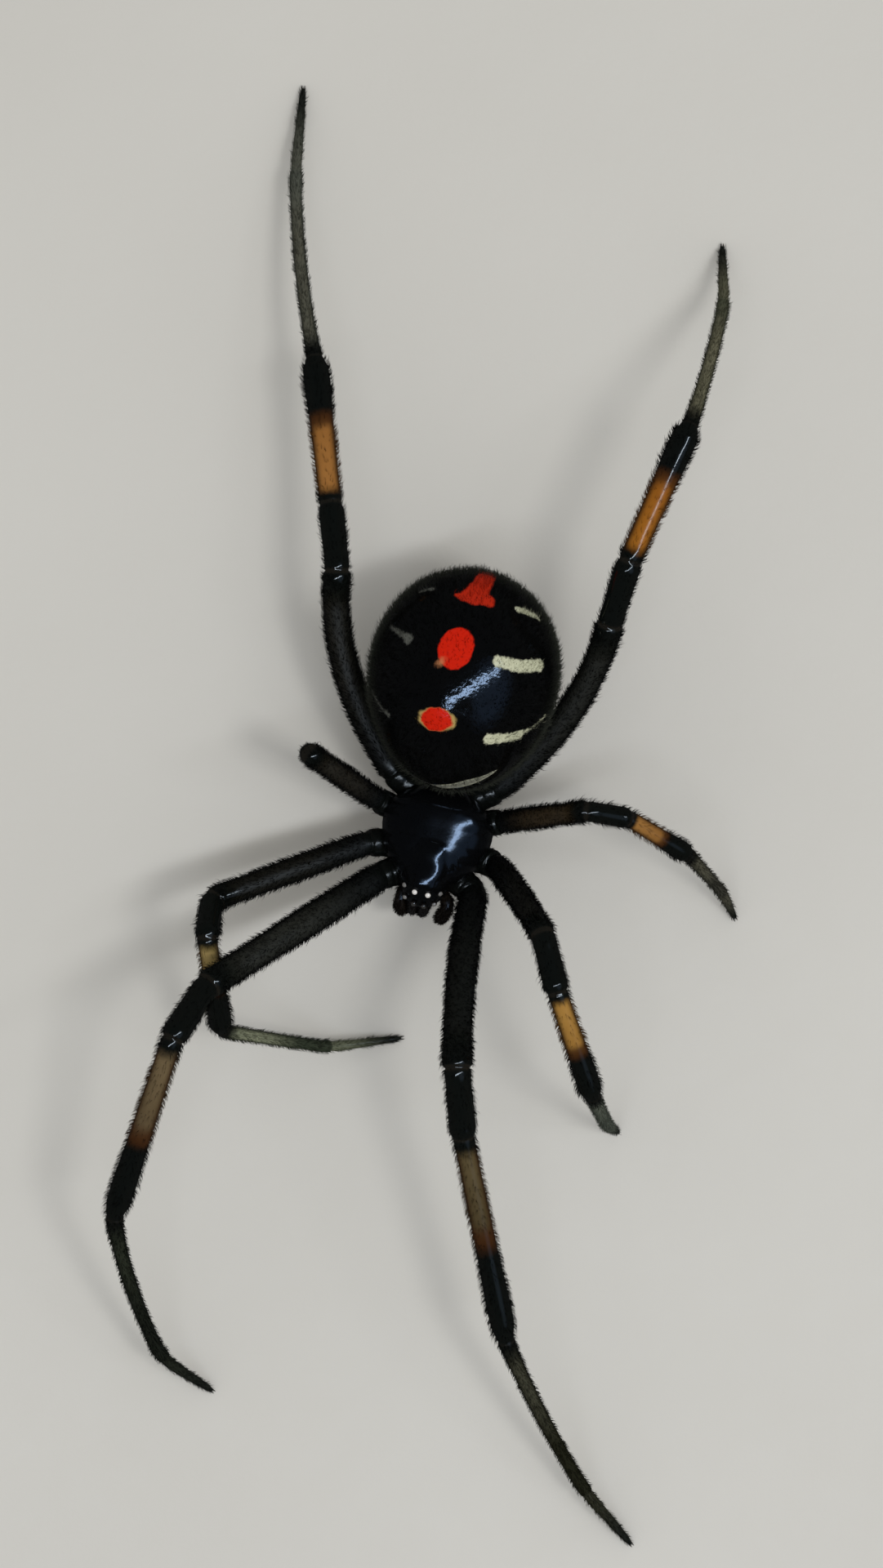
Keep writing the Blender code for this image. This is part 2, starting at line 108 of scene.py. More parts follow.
STERNUM_CENTRE = (0.0, -0.05, 1.3)
STERNUM_HALF_LENGTH = 1.05
STERNUM_HALF_HEIGHT = 0.2
STERNUM_HALF_WIDTH = ((-1.0, 0.66), (-0.3, 0.8), (0.4, 0.62), (1.0, 0.22))

# Tapered parts: the points of each centreline and the radius at each point
CHELICERA = (((0.15, -1.5, 2.46), 0.125), ((0.158, -1.58, 2.32), 0.15), ((0.16, -1.7, 2.1), 0.16),
             ((0.148, -1.85, 1.76), 0.148), ((0.128, -1.93, 1.42), 0.122), ((0.105, -1.93, 1.18), 0.088))
FANG = (((0.115, -1.94, 1.24), 0.048), ((0.1, -1.97, 1.1), 0.04), ((0.06, -1.91, 1.01), 0.023),
        ((0.03, -1.8, 0.99), 0.008))
PALPS = {
    "left": ((0.42, -1.24, 1.78), (0.62, -1.38, 1.92), (0.75, -1.56, 2.05), (0.72, -1.72, 1.95),
             (0.665, -1.88, 1.66), (0.6, -1.99, 1.24)),
    "right": ((-0.37, -1.3, 1.76), (-0.48, -1.46, 1.88), (-0.49, -1.62, 1.95), (-0.465, -1.78, 1.86),
              (-0.425, -1.92, 1.58), (-0.375, -1.99, 1.2)),
}
PALP_RADII = (0.145, 0.16, 0.158, 0.165, 0.17)
LOWER_LIP = (((0.0, -1.02, 1.34), 0.24), ((0.0, -1.16, 1.28), 0.25), ((0.0, -1.3, 1.28), 0.21),
             ((0.0, -1.42, 1.33), 0.12))
MOUTH_PAD = (((0.56, -1.0, 1.56), 0.16), ((0.5, -1.16, 1.42), 0.21), ((0.38, -1.36, 1.36), 0.21),
             ((0.26, -1.54, 1.36), 0.17), ((0.2, -1.64, 1.36), 0.1))
PEDICEL = (((0.0, 1.05, 2.22), 0.24), ((0.0, 1.3, 2.24), 0.21), ((0.0, 1.42, 2.25), 0.17),
           ((0.0, 1.58, 2.28), 0.21), ((0.0, 1.72, 2.32), 0.17), ((0.0, 1.95, 2.4), 0.2),
           ((0.0, 2.35, 2.57), 0.3))
SPINNERET_MOUND = (((0.0, 5.48, 2.55), 0.66), ((0.0, 5.7, 2.1), 0.63), ((0.0, 5.82, 1.88), 0.6),
                   ((0.0, 5.87, 1.78), 0.53), ((0.0, 5.92, 1.66), 0.5), ((0.0, 5.94, 1.58), 0.42))
REAR_KNOB = (((0.0, 6.2, 2.1), 0.22), ((0.0, 6.34, 1.92), 0.19), ((0.0, 6.42, 1.78), 0.12))
# Root, heading, length and radius of each pair
SPINNERETS = (("front", (0.24, 5.76, 1.64), (0.3, 0.05, -1.0), 0.47, 0.185),
              ("middle", (0.12, 5.95, 1.6), (0.2, 0.25, -1.0), 0.3, 0.1),
              ("rear", (0.24, 6.12, 1.68), (0.34, 0.6, -1.0), 0.46, 0.15))
# A wide foot joint with a slimmer end joint, parted by a step, as (share of length, share of radius)
SPINNERET_TAPER = ((-0.2, 1.0), (0.3, 1.0), (0.58, 0.86), (0.62, 0.74), (0.8, 0.72), (1.0, 0.52))

# Legs: joints as in the solids
COXA_START = {1: (0.45, -0.74, 1.8), 2: (0.52, -0.2, 1.82), 3: (0.52, 0.44, 1.82), 4: (0.42, 1.0, 1.8)}
COXA_END = {1: (1.24, -1.18, 2.08), 2: (1.66, -0.36, 2.1), 3: (1.62, 0.74, 2.1), 4: (1.34, 1.52, 2.06)}
SEGMENTS = ("coxa", "femur", "patella", "tibia", "metatarsus", "tarsus")
# For each leg: heading from +X in degrees, run over the floor and height of the end of each part from femur
# to tarsus; how far the middles of its femur and metatarsus bow to the spider's left and up; and where the
# amber band ends along its tibia
LEGS = {
    ("left", 1): (((-86, 4.33, 6.3), (-75, 1.78, 5.45), (-68.4, 5.45, 3.85), (-53.4, 4.7, 1.0),
                   (-40.6, 1.9, 0.08)), (-0.12, 0.15), (-0.1, 0.12), 0.47),
    ("right", 1): (((-138, 5.08, 5.8), (-112.5, 1.53, 6.95), (-99, 4.89, 4.8), (-64.7, 4.08, 1.42),
                    (-28, 1.56, 0.08)), (0.0, 0.15), (-0.16, 0.12), 0.52),
    ("left", 2): (((-46, 2.04, 6.3), (-66, 1.5, 6.45), (-61, 2.86, 5.3), (-54, 1.01, 1.85),
                   (-30, 0.42, 0.08)), (0.05, 0.1), (0.0, 0.1), 0.53),
    ("right", 2): (((-150, 4.25, 3.72), (-85, 0.95, 4.85), (-73, 2.46, 3.0), (-1, 2.76, 0.78),
                    (16.5, 1.88, 0.08)), (0.0, 0.12), (0.0, 0.12), 0.5),
    ("left", 3): (((18, 2.16, 4.6), (0, 1.09, 4.1), (-21, 1.85, 3.1), (-36, 1.39, 1.02),
                   (-52, 0.77, 0.08)), (0.0, 0.12), (0.0, 0.0), 0.52),
    ("right", 3): (((155, 2.13, 4.64), (-25, 0.25, 3.5), (-25, 1.0, 1.72), (-27, 1.95, 0.48),
                    (-30, 1.0, 0.08)), (0.0, 0.12), (0.0, 0.0), 0.52),
    ("left", 4): (((66, 5.12, 4.8), (83, 1.62, 5.5), (76, 3.77, 5.35), (83, 3.55, 1.65),
                   (99, 1.6, 0.08)), (0.46, -0.18), (0.05, 0.15), 0.6),
    ("right", 4): (((115.5, 5.36, 3.57), (106, 1.74, 3.1), (106.5, 3.84, 2.42), (106, 4.98, 0.85),
                    (95.5, 2.25, 0.08)), (-0.52, -0.22), (-0.12, 0.1), 0.55),
}
# Radius of each leg part at its fullest, and how it runs along it, as (share of length, share of radius)
RADIUS = {
    1: (0.4, 0.38, 0.345, 0.315, 0.178, 0.14),
    2: (0.39, 0.322, 0.312, 0.298, 0.162, 0.13),
    3: (0.36, 0.285, 0.27, 0.255, 0.152, 0.122),
    4: (0.4, 0.352, 0.33, 0.342, 0.165, 0.134),
}
TAPER = (
    ((0.0, 0.72), (0.35, 1.0), (0.64, 0.97), (0.72, 0.92), (0.8, 0.94), (0.92, 0.93), (1.0, 0.9)),
    ((0.0, 0.93), (0.12, 0.95), (0.4, 1.0), (0.8, 0.94), (0.94, 0.98), (1.0, 0.95)),
    ((0.0, 0.97), (0.18, 0.93), (0.55, 0.97), (0.85, 0.98), (1.0, 0.86)),
    ((0.0, 0.86), (0.1, 0.82), (0.5, 0.87), (0.84, 1.0), (0.91, 0.97), (1.0, 0.66)),
    ((0.0, 1.3), (0.06, 1.15), (0.22, 1.0), (0.85, 0.92), (0.96, 0.98), (1.0, 0.96)),
    ((0.0, 0.98), (0.15, 1.0), (0.6, 0.82), (0.88, 0.64), (0.97, 0.46), (1.0, 0.24)),
)
# For each joint from coxa-femur to metatarsus-tarsus: how deep it draws in, and how high its back swells
JOINT_SHAPES = ((0.03, 0.01), (0.08, 0.08), (0.07, 0.06), (0.04, 0.03), (0.02, 0.03))
AROUND_LEG = 28
# Hair on each part of a leg: how many to a square millimetre, length, radius, lift in degrees
LEG_HAIR = ((110, 0.1, 0.0056, 38.0), (360, 0.13, 0.0062, 46.0), (320, 0.125, 0.0062, 44.0),
            (400, 0.155, 0.0064, 48.0), (380, 0.12, 0.0056, 42.0), (420, 0.105, 0.0052, 38.0))
# One claw, along +Y with its root at the origin
CLAW = (((0.0, 0.0, 0.01), 0.017), ((0.0, 0.052, 0.02), 0.013), ((0.0, 0.098, 0.0), 0.009),
        ((0.0, 0.115, -0.042), 0.004))
HAIR_JOINT = 0.55
FINE_HAIR = 0.0052
CARAPACE_HAIRS = 2600
PALP_HAIRS = 1300
PALP_HAIR_RADIUS = 0.006
AROUND_PALP = 26
BRISTLE_SHARE = 0.035
BRISTLE_RADIUS = 0.008


# Small sums

def read_stations(stations, place):
    """The value at each place between named stations, eased from one to the next."""
    place = np.asarray(place, float)
    value = np.full(place.shape, float(stations[0][1]))
    for (start, low), (end, high) in zip(stations, stations[1:]):
        share = np.clip((place - start) / (end - start), 0.0, 1.0)
        value = np.where(place >= start, low + (high - low) * share * share * (3.0 - 2.0 * share), value)
    return value


def read_curve(stations, place):
    """The value at each place on a smooth curve through the stations."""
    spots, values = np.array(stations, float).T
    slopes = np.gradient(values, spots)
    index = np.clip(np.searchsorted(spots, place) - 1, 0, len(spots) - 2)
    run = spots[index + 1] - spots[index]
    s = np.clip((place - spots[index]) / run, 0.0, 1.0)
    return ((2 * s ** 3 - 3 * s ** 2 + 1) * values[index] + (s ** 3 - 2 * s ** 2 + s) * run * slopes[index]
            + (3 * s ** 2 - 2 * s ** 3) * values[index + 1] + (s ** 3 - s ** 2) * run * slopes[index + 1])


def on_side(point, side):
    point = np.array(point, float)
    if side == "right":
        point[0] = -point[0]
    return point


def turned(points):
    """Points of the head and its shield, turned with them about the body's origin."""
    angle = math.radians(HEAD_TURN)
    points = np.asarray(points, float)
    x, y = points[..., 0], points[..., 1]
    return np.stack([x * math.cos(angle) - y * math.sin(angle), x * math.sin(angle) + y * math.cos(angle),
                     points[..., 2]], axis=-1)


def head_spots(spots, side):
    return [(turned(on_side(point, side)), radius) for point, radius in spots]


def unit(vectors):
    return vectors / np.maximum(np.linalg.norm(vectors, axis=-1, keepdims=True), 1e-12)


def bell(distance, width):
    return np.exp(-(distance / width) ** 2)


def travelled(points):
    """How far along a route each of its points lies."""
    return np.concatenate([[0.0], np.cumsum(np.linalg.norm(np.diff(points, axis=0), axis=1))])


def read_route(places, marks, points):
    """The points of a route at the places given along its marks."""
    return np.stack([np.interp(places, marks, points[:, axis]) for axis in range(3)], axis=-1)


def bent(start, pull, end, share):
    """A curve from start to end, pulled towards a third point."""
    return (1 - share) ** 2 * start + 2 * share * (1 - share) * pull + share ** 2 * end


def eye_spots():
    """The centre and radius of each eye, before the head is turned."""
    for _, half_spread, along, height, radius, _ in EYE_PAIRS:
        for sign in (-1.0, 1.0):
            yield np.array((sign * half_spread, along, height)), radius


# Meshes

def read_values(items, key, width, kind=float):
    """What a mesh holds for each of its points, corners or triangles, as rows."""
    values = np.empty(len(items) * width, kind)
    items.foreach_get(key, values)
    return values.reshape(-1, width)


def read_points(thing):
    """The points of an object's mesh, in millimetres from the body's origin."""
    return read_values(thing.data.vertices, "co", 3) / METRES - STAND_SHIFT


def write_points(thing, points):
    thing.data.vertices.foreach_set("co", ((points + STAND_SHIFT) * METRES).ravel())
    thing.data.update()


def write_mark(thing, name, values):
    """A number for each point of a mesh, which its material or its hair reads."""
    values = np.asarray(values, np.float32)
    kind, key = ("FLOAT_VECTOR", "vector") if values.ndim == 2 else ("FLOAT", "value")
    thing.data.attributes.new(name, kind, "POINT").data.foreach_set(key, values.ravel())


def finish_piece(thing, material, *nodes, slot="body_cuticle"):
    """Gives a piece its material and its place in the model, and hides the nodes it stands for."""
    bpy.ops.object.select_all(action="DESELECT")
    thing.select_set(True)
    bpy.context.view_layer.objects.active = thing
    bpy.ops.object.shade_smooth()
    thing.data.materials.append(material)
    if nodes:
        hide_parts(*nodes)
    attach(thing, BODY)
    return thing


def relay_faces(mesh):
    """Lays the faces down in the order of their points, as those of a new ball change from run to run."""
    points = read_values(mesh.vertices, "co", 3)
    uv = read_values(mesh.uv_layers.active.data, "uv", 2, np.float32)
    faces = []
    for face in mesh.polygons:
        corners, loops = list(face.vertices), list(face.loop_indices)
        first = corners.index(min(corners))
        faces.append((corners[first:] + corners[:first], loops[first:] + loops[:first]))
    faces.sort()
    mesh.clear_geometry()
    mesh.from_pydata(points, [], [corners for corners, _ in faces])
    order = [loop for _, loops in faces for loop in loops]
    mesh.uv_layers.new(name="UVMap").data.foreach_set("uv", uv[order].ravel())


def add_ball(name, segments, rings, shape):
    """A ball with its poles along Y, whose points are then moved by the shape given."""
    bpy.ops.object.select_all(action="DESELECT")
    bpy.ops.mesh.primitive_uv_sphere_add(segments=segments, ring_count=rings, radius=1.0)
    ball = bpy.context.object
    ball.name = name
    relay_faces(ball.data)
    ball.data.transform(Matrix.Rotation(math.pi / 2, 4, "X"))
    write_points(ball, shape(read_values(ball.data.vertices, "co", 3)))
    return ball


def add_tube(name, route, radii, around, flatten=1.0):
    """A tube along a route with a radius at each point, drawn as a curve with a round bevel and turned to a
    mesh. Its points run ring by ring, and its two ends are closed."""
    bpy.ops.object.select_all(action="DESELECT")
    bpy.ops.curve.primitive_nurbs_path_add()
    curve = bpy.context.object.data
    bpy.context.object.name = name
    curve.splines.clear()
    spline = curve.splines.new("POLY")
    spline.points.add(len(route) - 1)
    spline.points.foreach_set("co", np.column_stack([route, np.ones(len(route))]).ravel())
    spline.points.foreach_set("radius", np.asarray(radii, float))
    curve.twist_mode = "MINIMUM"
    curve.bevel_mode = "ROUND"
    curve.bevel_depth = 1.0
    curve.bevel_resolution = (around - 4) // 2
    curve.use_fill_caps = False
    bpy.ops.object.convert(target="MESH")
    tube = bpy.context.object
    bpy.ops.object.mode_set(mode="EDIT")
    bpy.ops.mesh.select_all(action="DESELECT")
    bpy.ops.mesh.select_non_manifold()
    bpy.ops.mesh.fill_holes(sides=0)
    bpy.ops.mesh.select_all(action="SELECT")
    bpy.ops.mesh.normals_make_consistent(inside=False)
    bpy.ops.object.mode_set(mode="OBJECT")
    rings = read_values(tube.data.vertices, "co", 3).reshape(len(route), around, 3)
    if flatten != 1.0:
        rings[..., 2] = route[:, None, 2] + (rings[..., 2] - route[:, None, 2]) * flatten
    write_points(tube, rings.reshape(-1, 3))
    return tube


def smooth_route(spots, steps):
    """A smooth curve through the spots, each a (point, radius), with its eased radii."""
    points = np.array([point for point, radius in spots], float)
    radii = np.array([radius for point, radius in spots], float)
    padded = np.vstack([2 * points[0] - points[1], points, 2 * points[-1] - points[-2]])
    sizes = np.concatenate([[radii[0]], radii, [radii[-1]]])
    route, thick = [], []
    for place in range(1, len(points)):
        share = np.linspace(0.0, 1.0, steps, endpoint=place == len(points) - 1)
        for values, found in ((padded, route), (sizes[:, None], thick)):
            a, b, c, d = values[place - 1], values[place], values[place + 1], values[place + 2]
            s = share[:, None]
            found.append(0.5 * (2 * b + (c - a) * s + (2 * a - 5 * b + 4 * c - d) * s ** 2
                                + (3 * b - a - 3 * c + d) * s ** 3))
    return np.concatenate(route), np.concatenate(thick)[:, 0]


def rounded_ends(route, radii, ends=(True, True)):
    """Closes in the radii at the ends of a route so that they are domes."""
    travel = travelled(route)
    radii = np.array(radii, float)
    for flag, distance in zip(ends, (travel, travel[-1] - travel)):
        if flag:
            inside = np.clip(distance / radii, 0.0, 1.0)
            radii = radii * np.sqrt(np.maximum(1.0 - (1.0 - inside) ** 2, 0.015))
    return radii


def add_finger(name, spots, around=20, steps=8, flatten=1.0, ends=(True, True)):
    """A smooth tapered piece with domed ends."""
    route, radii = smooth_route(spots, steps)
    return add_tube(name, route, rounded_ends(route, radii, ends), around, flatten)


# Hair

def model_hair():
    """One hair, one unit long along Z and one unit in radius at its root, with a joint where it bends."""
    bpy.ops.object.select_all(action="DESELECT")
    bpy.ops.mesh.primitive_cone_add(vertices=3, radius1=1.0, radius2=0.0, depth=1.0, location=(0.0, 0.0, 0.5))
    hair = bpy.context.object
    bpy.ops.object.transform_apply(location=True)
    bpy.ops.object.mode_set(mode="EDIT")
    bpy.ops.mesh.select_all(action="SELECT")
    bpy.ops.mesh.bisect(plane_co=(0.0, 0.0, HAIR_JOINT), plane_no=(0.0, 0.0, 1.0))
    bpy.ops.transform.resize(value=(1.6, 1.6, 1.0), center_override=(0.0, 0.0, HAIR_JOINT))
    bpy.ops.mesh.select_all(action="SELECT")
    bpy.ops.mesh.quads_convert_to_tris()
    bpy.ops.mesh.normals_make_consistent(inside=False)
    bpy.ops.object.mode_set(mode="OBJECT")
    points = np.array([vertex.co for vertex in hair.data.vertices])
    faces = np.array([face.vertices for face in hair.data.polygons])
    bpy.data.objects.remove(hair, do_unlink=True)
    return points, faces


def scatter(skin, count, rng, *marks):
    """Roots spread evenly over a skin: where they are, the way out of the skin, the place on its UV map, and
    what each of its marks reads there."""
    mesh = skin.data
    mesh.calc_loop_triangles()
    corners = read_values(mesh.loop_triangles, "vertices", 3, np.int32)
    loops = read_values(mesh.loop_triangles, "loops", 3, np.int32)
    points = read_points(skin)
    a, b, c = (points[corners[:, corner]] for corner in range(3))
    area = np.linalg.norm(np.cross(b - a, c - a), axis=1)
    pick = rng.choice(len(corners), size=count, p=area / area.sum())
    share = rng.uniform(size=(count, 2))
    share = np.where(share.sum(1, keepdims=True) > 1.0, 1.0 - share, share)
    weights = np.column_stack([1.0 - share.sum(1), share])

    def read(values, index=corners):
        return (values[index[pick]] * weights[..., None]).sum(1)

    found = [read(points), unit(read(read_values(mesh.vertex_normals, "vector", 3))),
             read(read_values(mesh.uv_layers.active.data, "uv", 2), loops)]
    for source in (mesh.attributes[name] for name in marks):
        if source.data_type == "FLOAT_VECTOR":
            found.append(read(read_values(source.data, "vector", 3)))
        else:
            found.append(read(read_values(source.data, "value", 1))[:, 0])
    return found


def add_coat(name, roots, keep, lie, length, radius, lift, material, slot="body_cuticle", **marks):
    """A copy of the one hair at each root that is kept. Each leans along the lie and curves back towards it.
    What is given for every root is read where that root is kept."""

    def kept(values):
        values = np.asarray(values, float)
        return values[keep] if values.shape[:1] == keep.shape else values

    spots, out, uv, lie = (kept(values) for values in (*roots[:3], lie))
    count = len(spots)
    length, radius, lift = (np.broadcast_to(kept(v), (count,))[:, None] for v in (length, radius, lift))
    lift = np.radians(lift)
    lie = unit(lie - (lie * out).sum(1, keepdims=True) * out)
    first, second = (unit(np.cos(angle) * lie + np.sin(angle) * out) for angle in (lift, lift * 0.5))
    side = unit(np.cross(first, out))
    rise = np.cross(side, first)
    base = spots - 0.5 * radius * out
    points = np.empty((count, len(HAIR_POINTS), 3), np.float32)
    for place, (x, y, z) in enumerate(HAIR_POINTS):
        points[:, place] = (base + length * (min(z, HAIR_JOINT) * first + max(z - HAIR_JOINT, 0.0) * second)
                            + radius * (x * side + y * rise))
    points[..., 2] = np.maximum(points[..., 2], 0.0)
    faces = (np.arange(count)[:, None, None] * len(HAIR_POINTS) + HAIR_FACES[None]).reshape(-1, 3)
    mesh = bpy.data.meshes.new(name)
    mesh.vertices.add(count * len(HAIR_POINTS))
    mesh.loops.add(faces.size)
    mesh.loops.foreach_set("vertex_index", faces.astype(np.int32).ravel())
    mesh.polygons.add(len(faces))
    mesh.polygons.foreach_set("loop_start", np.arange(0, faces.size, 3, dtype=np.int32))
    coat = bpy.data.objects.new(name, mesh)
    bpy.context.scene.collection.objects.link(coat)
    write_points(coat, points.reshape(-1, 3))
    patch = 0.0014 * np.column_stack([HAIR_POINTS[:, 0], HAIR_POINTS[:, 2] * 2.0 - 1.0])
    corner_uv = (np.clip(uv, 0.0015, 0.9985)[:, None] + patch[None])[:, HAIR_FACES.ravel()]
    mesh.uv_layers.new(name="OFBake").data.foreach_set("uv", corner_uv.astype(np.float32).ravel())
    mesh.update(calc_edges=True)
    for key, values in marks.items():
        write_mark(coat, key, np.repeat(kept(values), len(HAIR_POINTS), axis=0))
    return finish_piece(coat, material, slot=slot)


# Shader sums

def operator(operation, turned_round=False):
    """A method of Number that adds a Math node, with the number itself last where it is turned round."""

    def method(self, *others):
        values = (*others, self) if turned_round else (self, *others)
        return self.recipe.node("Math", {"operation": operation}, dict(enumerate(values)))

    return method


class Number:
    """A socket of a material's nodes, worked with as if it were a number. Its other methods are the recipe's,
    with the number as their first value."""

    def __init__(self, recipe, socket):
        self.recipe = recipe
        self.socket = socket

    def __getattr__(self, name):
        return functools.partial(getattr(self.recipe, name), self)

    __add__ = __radd__ = operator("ADD")
    __mul__ = __rmul__ = operator("MULTIPLY")
    __sub__ = operator("SUBTRACT")
    __rsub__ = operator("SUBTRACT", True)
    __truediv__ = operator("DIVIDE")
    largest = operator("MAXIMUM")
    smallest = operator("MINIMUM")
    size = operator("ABSOLUTE")
    root = operator("SQRT")


class Recipe:
    """The nodes of a material or a world."""

    def __init__(self, owner):
        owner.use_nodes = True
        self.owner = owner
        self.tree = owner.node_tree
        self.place = 0

    def node(self, kind, settings=None, inputs=None, output=0):
        """Any node: its type, its settings, what goes into its sockets, and which output is wanted."""
        node = self.tree.nodes.new(f"ShaderNode{kind}")
        self.place += 1
        node.location = (-200.0 * (self.place % 12) - 300.0, -180.0 * (self.place // 12))
        for key, value in (settings or {}).items():
            setattr(node, key, value)
        for key, value in (inputs or {}).items():
            self.put(node.inputs[key], value)
        return Number(self, node.outputs[output])

    def put(self, socket, value):
        if isinstance(value, Number):
            self.tree.links.new(value.socket, socket)
        elif socket.type == "RGBA" and len(value) == 3:
            socket.default_value = (*value, 1.0)
        else:
            socket.default_value = value

    def vector(self, first, operation, *others, output=0):
        inputs = dict(enumerate((first, *others)))
        return self.node("VectorMath", {"operation": operation}, inputs, output)

    def dot(self, first, second):
        return self.vector(first, "DOT_PRODUCT", second, output=1)

    def joined(self, x, y, z):
        return self.node("CombineXYZ", None, {"X": x, "Y": y, "Z": z})

    def between(self, value, low, high, easing="SMOOTHSTEP"):
        """0 at low, 1 at high, eased between."""
        inputs = {"Value": value, "From Min": low, "From Max": high}
        return self.node("MapRange", {"interpolation_type": easing}, inputs)

    def inside(self, distance, softness):
        """1 where a distance is below 0, 0 above it, with a soft edge."""
        return self.between(distance, softness, -softness)

    def mix(self, share, low, high):
        """A colour between two colours."""
        return self.node("Mix", {"data_type": "RGBA"}, {0: share, 6: low, 7: high}, output=2)

    def millimetres(self):
        """The place on the object in millimetres, from the spot under the middle of the carapace."""
        spot = self.node("TexCoord", output=3)
        inputs = {"Vector": spot, "Location": tuple(-STAND_SHIFT), "Scale": (1000.0, 1000.0, 1000.0)}
        return self.node("Mapping", None, inputs)

    def noise(self, vector, scale, detail=2.0, roughness=0.5):
        inputs = {"Vector": vector, "Scale": scale, "Detail": detail, "Roughness": roughness}
        return self.node("TexNoise", None, inputs)

    def cells(self, vector, scale):
        return self.node("TexVoronoi", None, {"Vector": vector, "Scale": scale})

    def mark(self, name):
        return self.node("Attribute", {"attribute_name": name}, output=2)

    def bump(self, height, depth, strength=0.6):
        """depth is in millimetres."""
        inputs = {"Height": height, "Distance": depth * METRES, "Strength": strength}
        return self.node("Bump", None, inputs)

    def finish(self, **sockets):
        """Fills the shader's sockets, named with _ for each space, and gives the material."""
        shader = self.tree.nodes["Principled BSDF"]
        for key, value in sockets.items():
            self.put(shader.inputs[key.replace("_", " ")], value)
        return self.owner


def new_material(name):
    """A new material's recipe, and the place on the object in millimetres."""
    recipe = Recipe(bpy.data.materials.new(name))
    return recipe, recipe.millimetres()


BLACK = (0.0018, 0.002, 0.0021)
LEG_BLACK = (0.0034, 0.0044, 0.004)
BLUE_GLOSS = (0.72, 0.84, 1.0)
LEG_GLOSS = (1.0, 0.95, 0.86)
SPOT_RED = (0.52, 0.01, 0.0006)
SPOT_DEEP_RED = (0.46, 0.019, 0.004)
CREAM = (0.56, 0.575, 0.42)
SHADED_CREAM = (0.42, 0.43, 0.3)
GREY_CREAM = (0.15, 0.155, 0.135)
# Paler than the bars' cream: painted light on the front band, which faces forward and down
CREAM_WITH_PAINTED_LIGHT = (0.88, 0.89, 0.68)
SPOT_BRIGHT_RED = (0.58, 0.013, 0.0008)
PEARL_AND_GLINT = ((0.62, 0.6, 0.58), (0.86, 0.85, 0.84))


def pattern_place(spot):
    """Where a place on the abdomen lies on a unit ball turned as the pattern is, and its three parts."""
    y = (spot.dot(-FORWARD) - ABDOMEN_CENTRE[1]) / ABDOMEN_HALF[1]
    swell = 1.0 + y * ABDOMEN_REAR_SWELL
    x = spot.dot((1.0, 0.0, 0.0)) / (swell * ABDOMEN_HALF[0])
    front = (y * -1.0).largest(0.0)
    z = (spot.dot(UP) - ABDOMEN_CENTRE[2] - front * front * ABDOMEN_FRONT_LIFT) / (swell * ABDOMEN_HALF[2])
    flat = x.joined(y, z).vector("NORMALIZE")
    right, back, up = (flat.dot(way) for way in PATTERN_WAYS)
    return right.joined(back, up), right, back, up


def on_ball(around, along):
    """The unit direction at degrees round the abdomen from its midline and along it from its middle."""
    a, b = math.radians(around), math.radians(along)
    return Vector((math.cos(b) * math.sin(a), math.sin(b), math.cos(b) * math.cos(a)))


def bar_distance(place, start, end, start_radius, end_radius):
    """How far a place lies outside a rounded bar between two spots, less than 0 inside it."""
    first = on_ball(*start)
    run = on_ball(*end) - first
    away = place.vector("SUBTRACT", tuple(first))
    share = away.dot(tuple(run / run.length_squared)).largest(0.0).smallest(1.0)
    across = share.joined(share, share).vector("MULTIPLY_ADD", tuple(-run), away)
    return across.vector("LENGTH", output=1) - share * (end_radius - start_radius) - start_radius


def nearest_bar(place, bars):
    return functools.reduce(Number.smallest, [bar_distance(place, *bar) for bar in bars])


def oval_distance(place, centre, long_radius, short_radius, turn):
    """How far a place is outside an oval. Its turn is in degrees from the line across the back."""
    middle = on_ball(*centre)
    across = Vector((0.0, 1.0, 0.0)).cross(middle).normalized()
    back = middle.cross(across)
    angle = math.radians(turn)
    long_way = math.cos(angle) * across + math.sin(angle) * back
    short_way = -math.sin(angle) * across + math.cos(angle) * back
    away = place.vector("SUBTRACT", tuple(middle))
    ways = (long_way / long_radius, short_way / short_radius, middle / short_radius)
    a, b, c = (away.dot(tuple(way)) for way in ways)
    return ((a * a + b * b + c * c).root() - 1.0) * short_radius


# Marks of the abdomen: start and end of each bar on the ball, and the radius at each
LEFT_BARS = (((42.0, 48.5), (67.0, 47.0), 0.034, 0.028), ((28.5, 14.6), (44.0, 15.6), 0.052, 0.056),
             ((44.0, 15.6), (61.0, 19.4), 0.056, 0.058), ((38.5, -25.6), (62.0, -18.4), 0.052, 0.046),
             ((62.0, -17.8), (82.0, -5.0), 0.022, 0.014))
RIGHT_BARS = (((-39.5, 44.6), (-49.5, 40.4), 0.022, 0.016), ((-31.5, 11.8), (-32.5, 11.9), 0.046, 0.044),
              ((-34.0, 12.4), (-53.0, 15.2), 0.03, 0.014), ((-41.0, -30.0), (-63.0, -20.5), 0.024, 0.018))
REAR_SPOT = (((-15.0, 45.4), (-6.5, 46.4), 0.022, 0.062), ((-6.5, 46.4), (2.5, 47.3), 0.062, 0.084),
             ((2.5, 47.3), (12.1, 48.2), 0.084, 0.08), ((-9.5, 48.0), (-1.0, 60.0), 0.03, 0.07),
             ((3.0, 50.5), (0.0, 71.8), 0.1, 0.092))


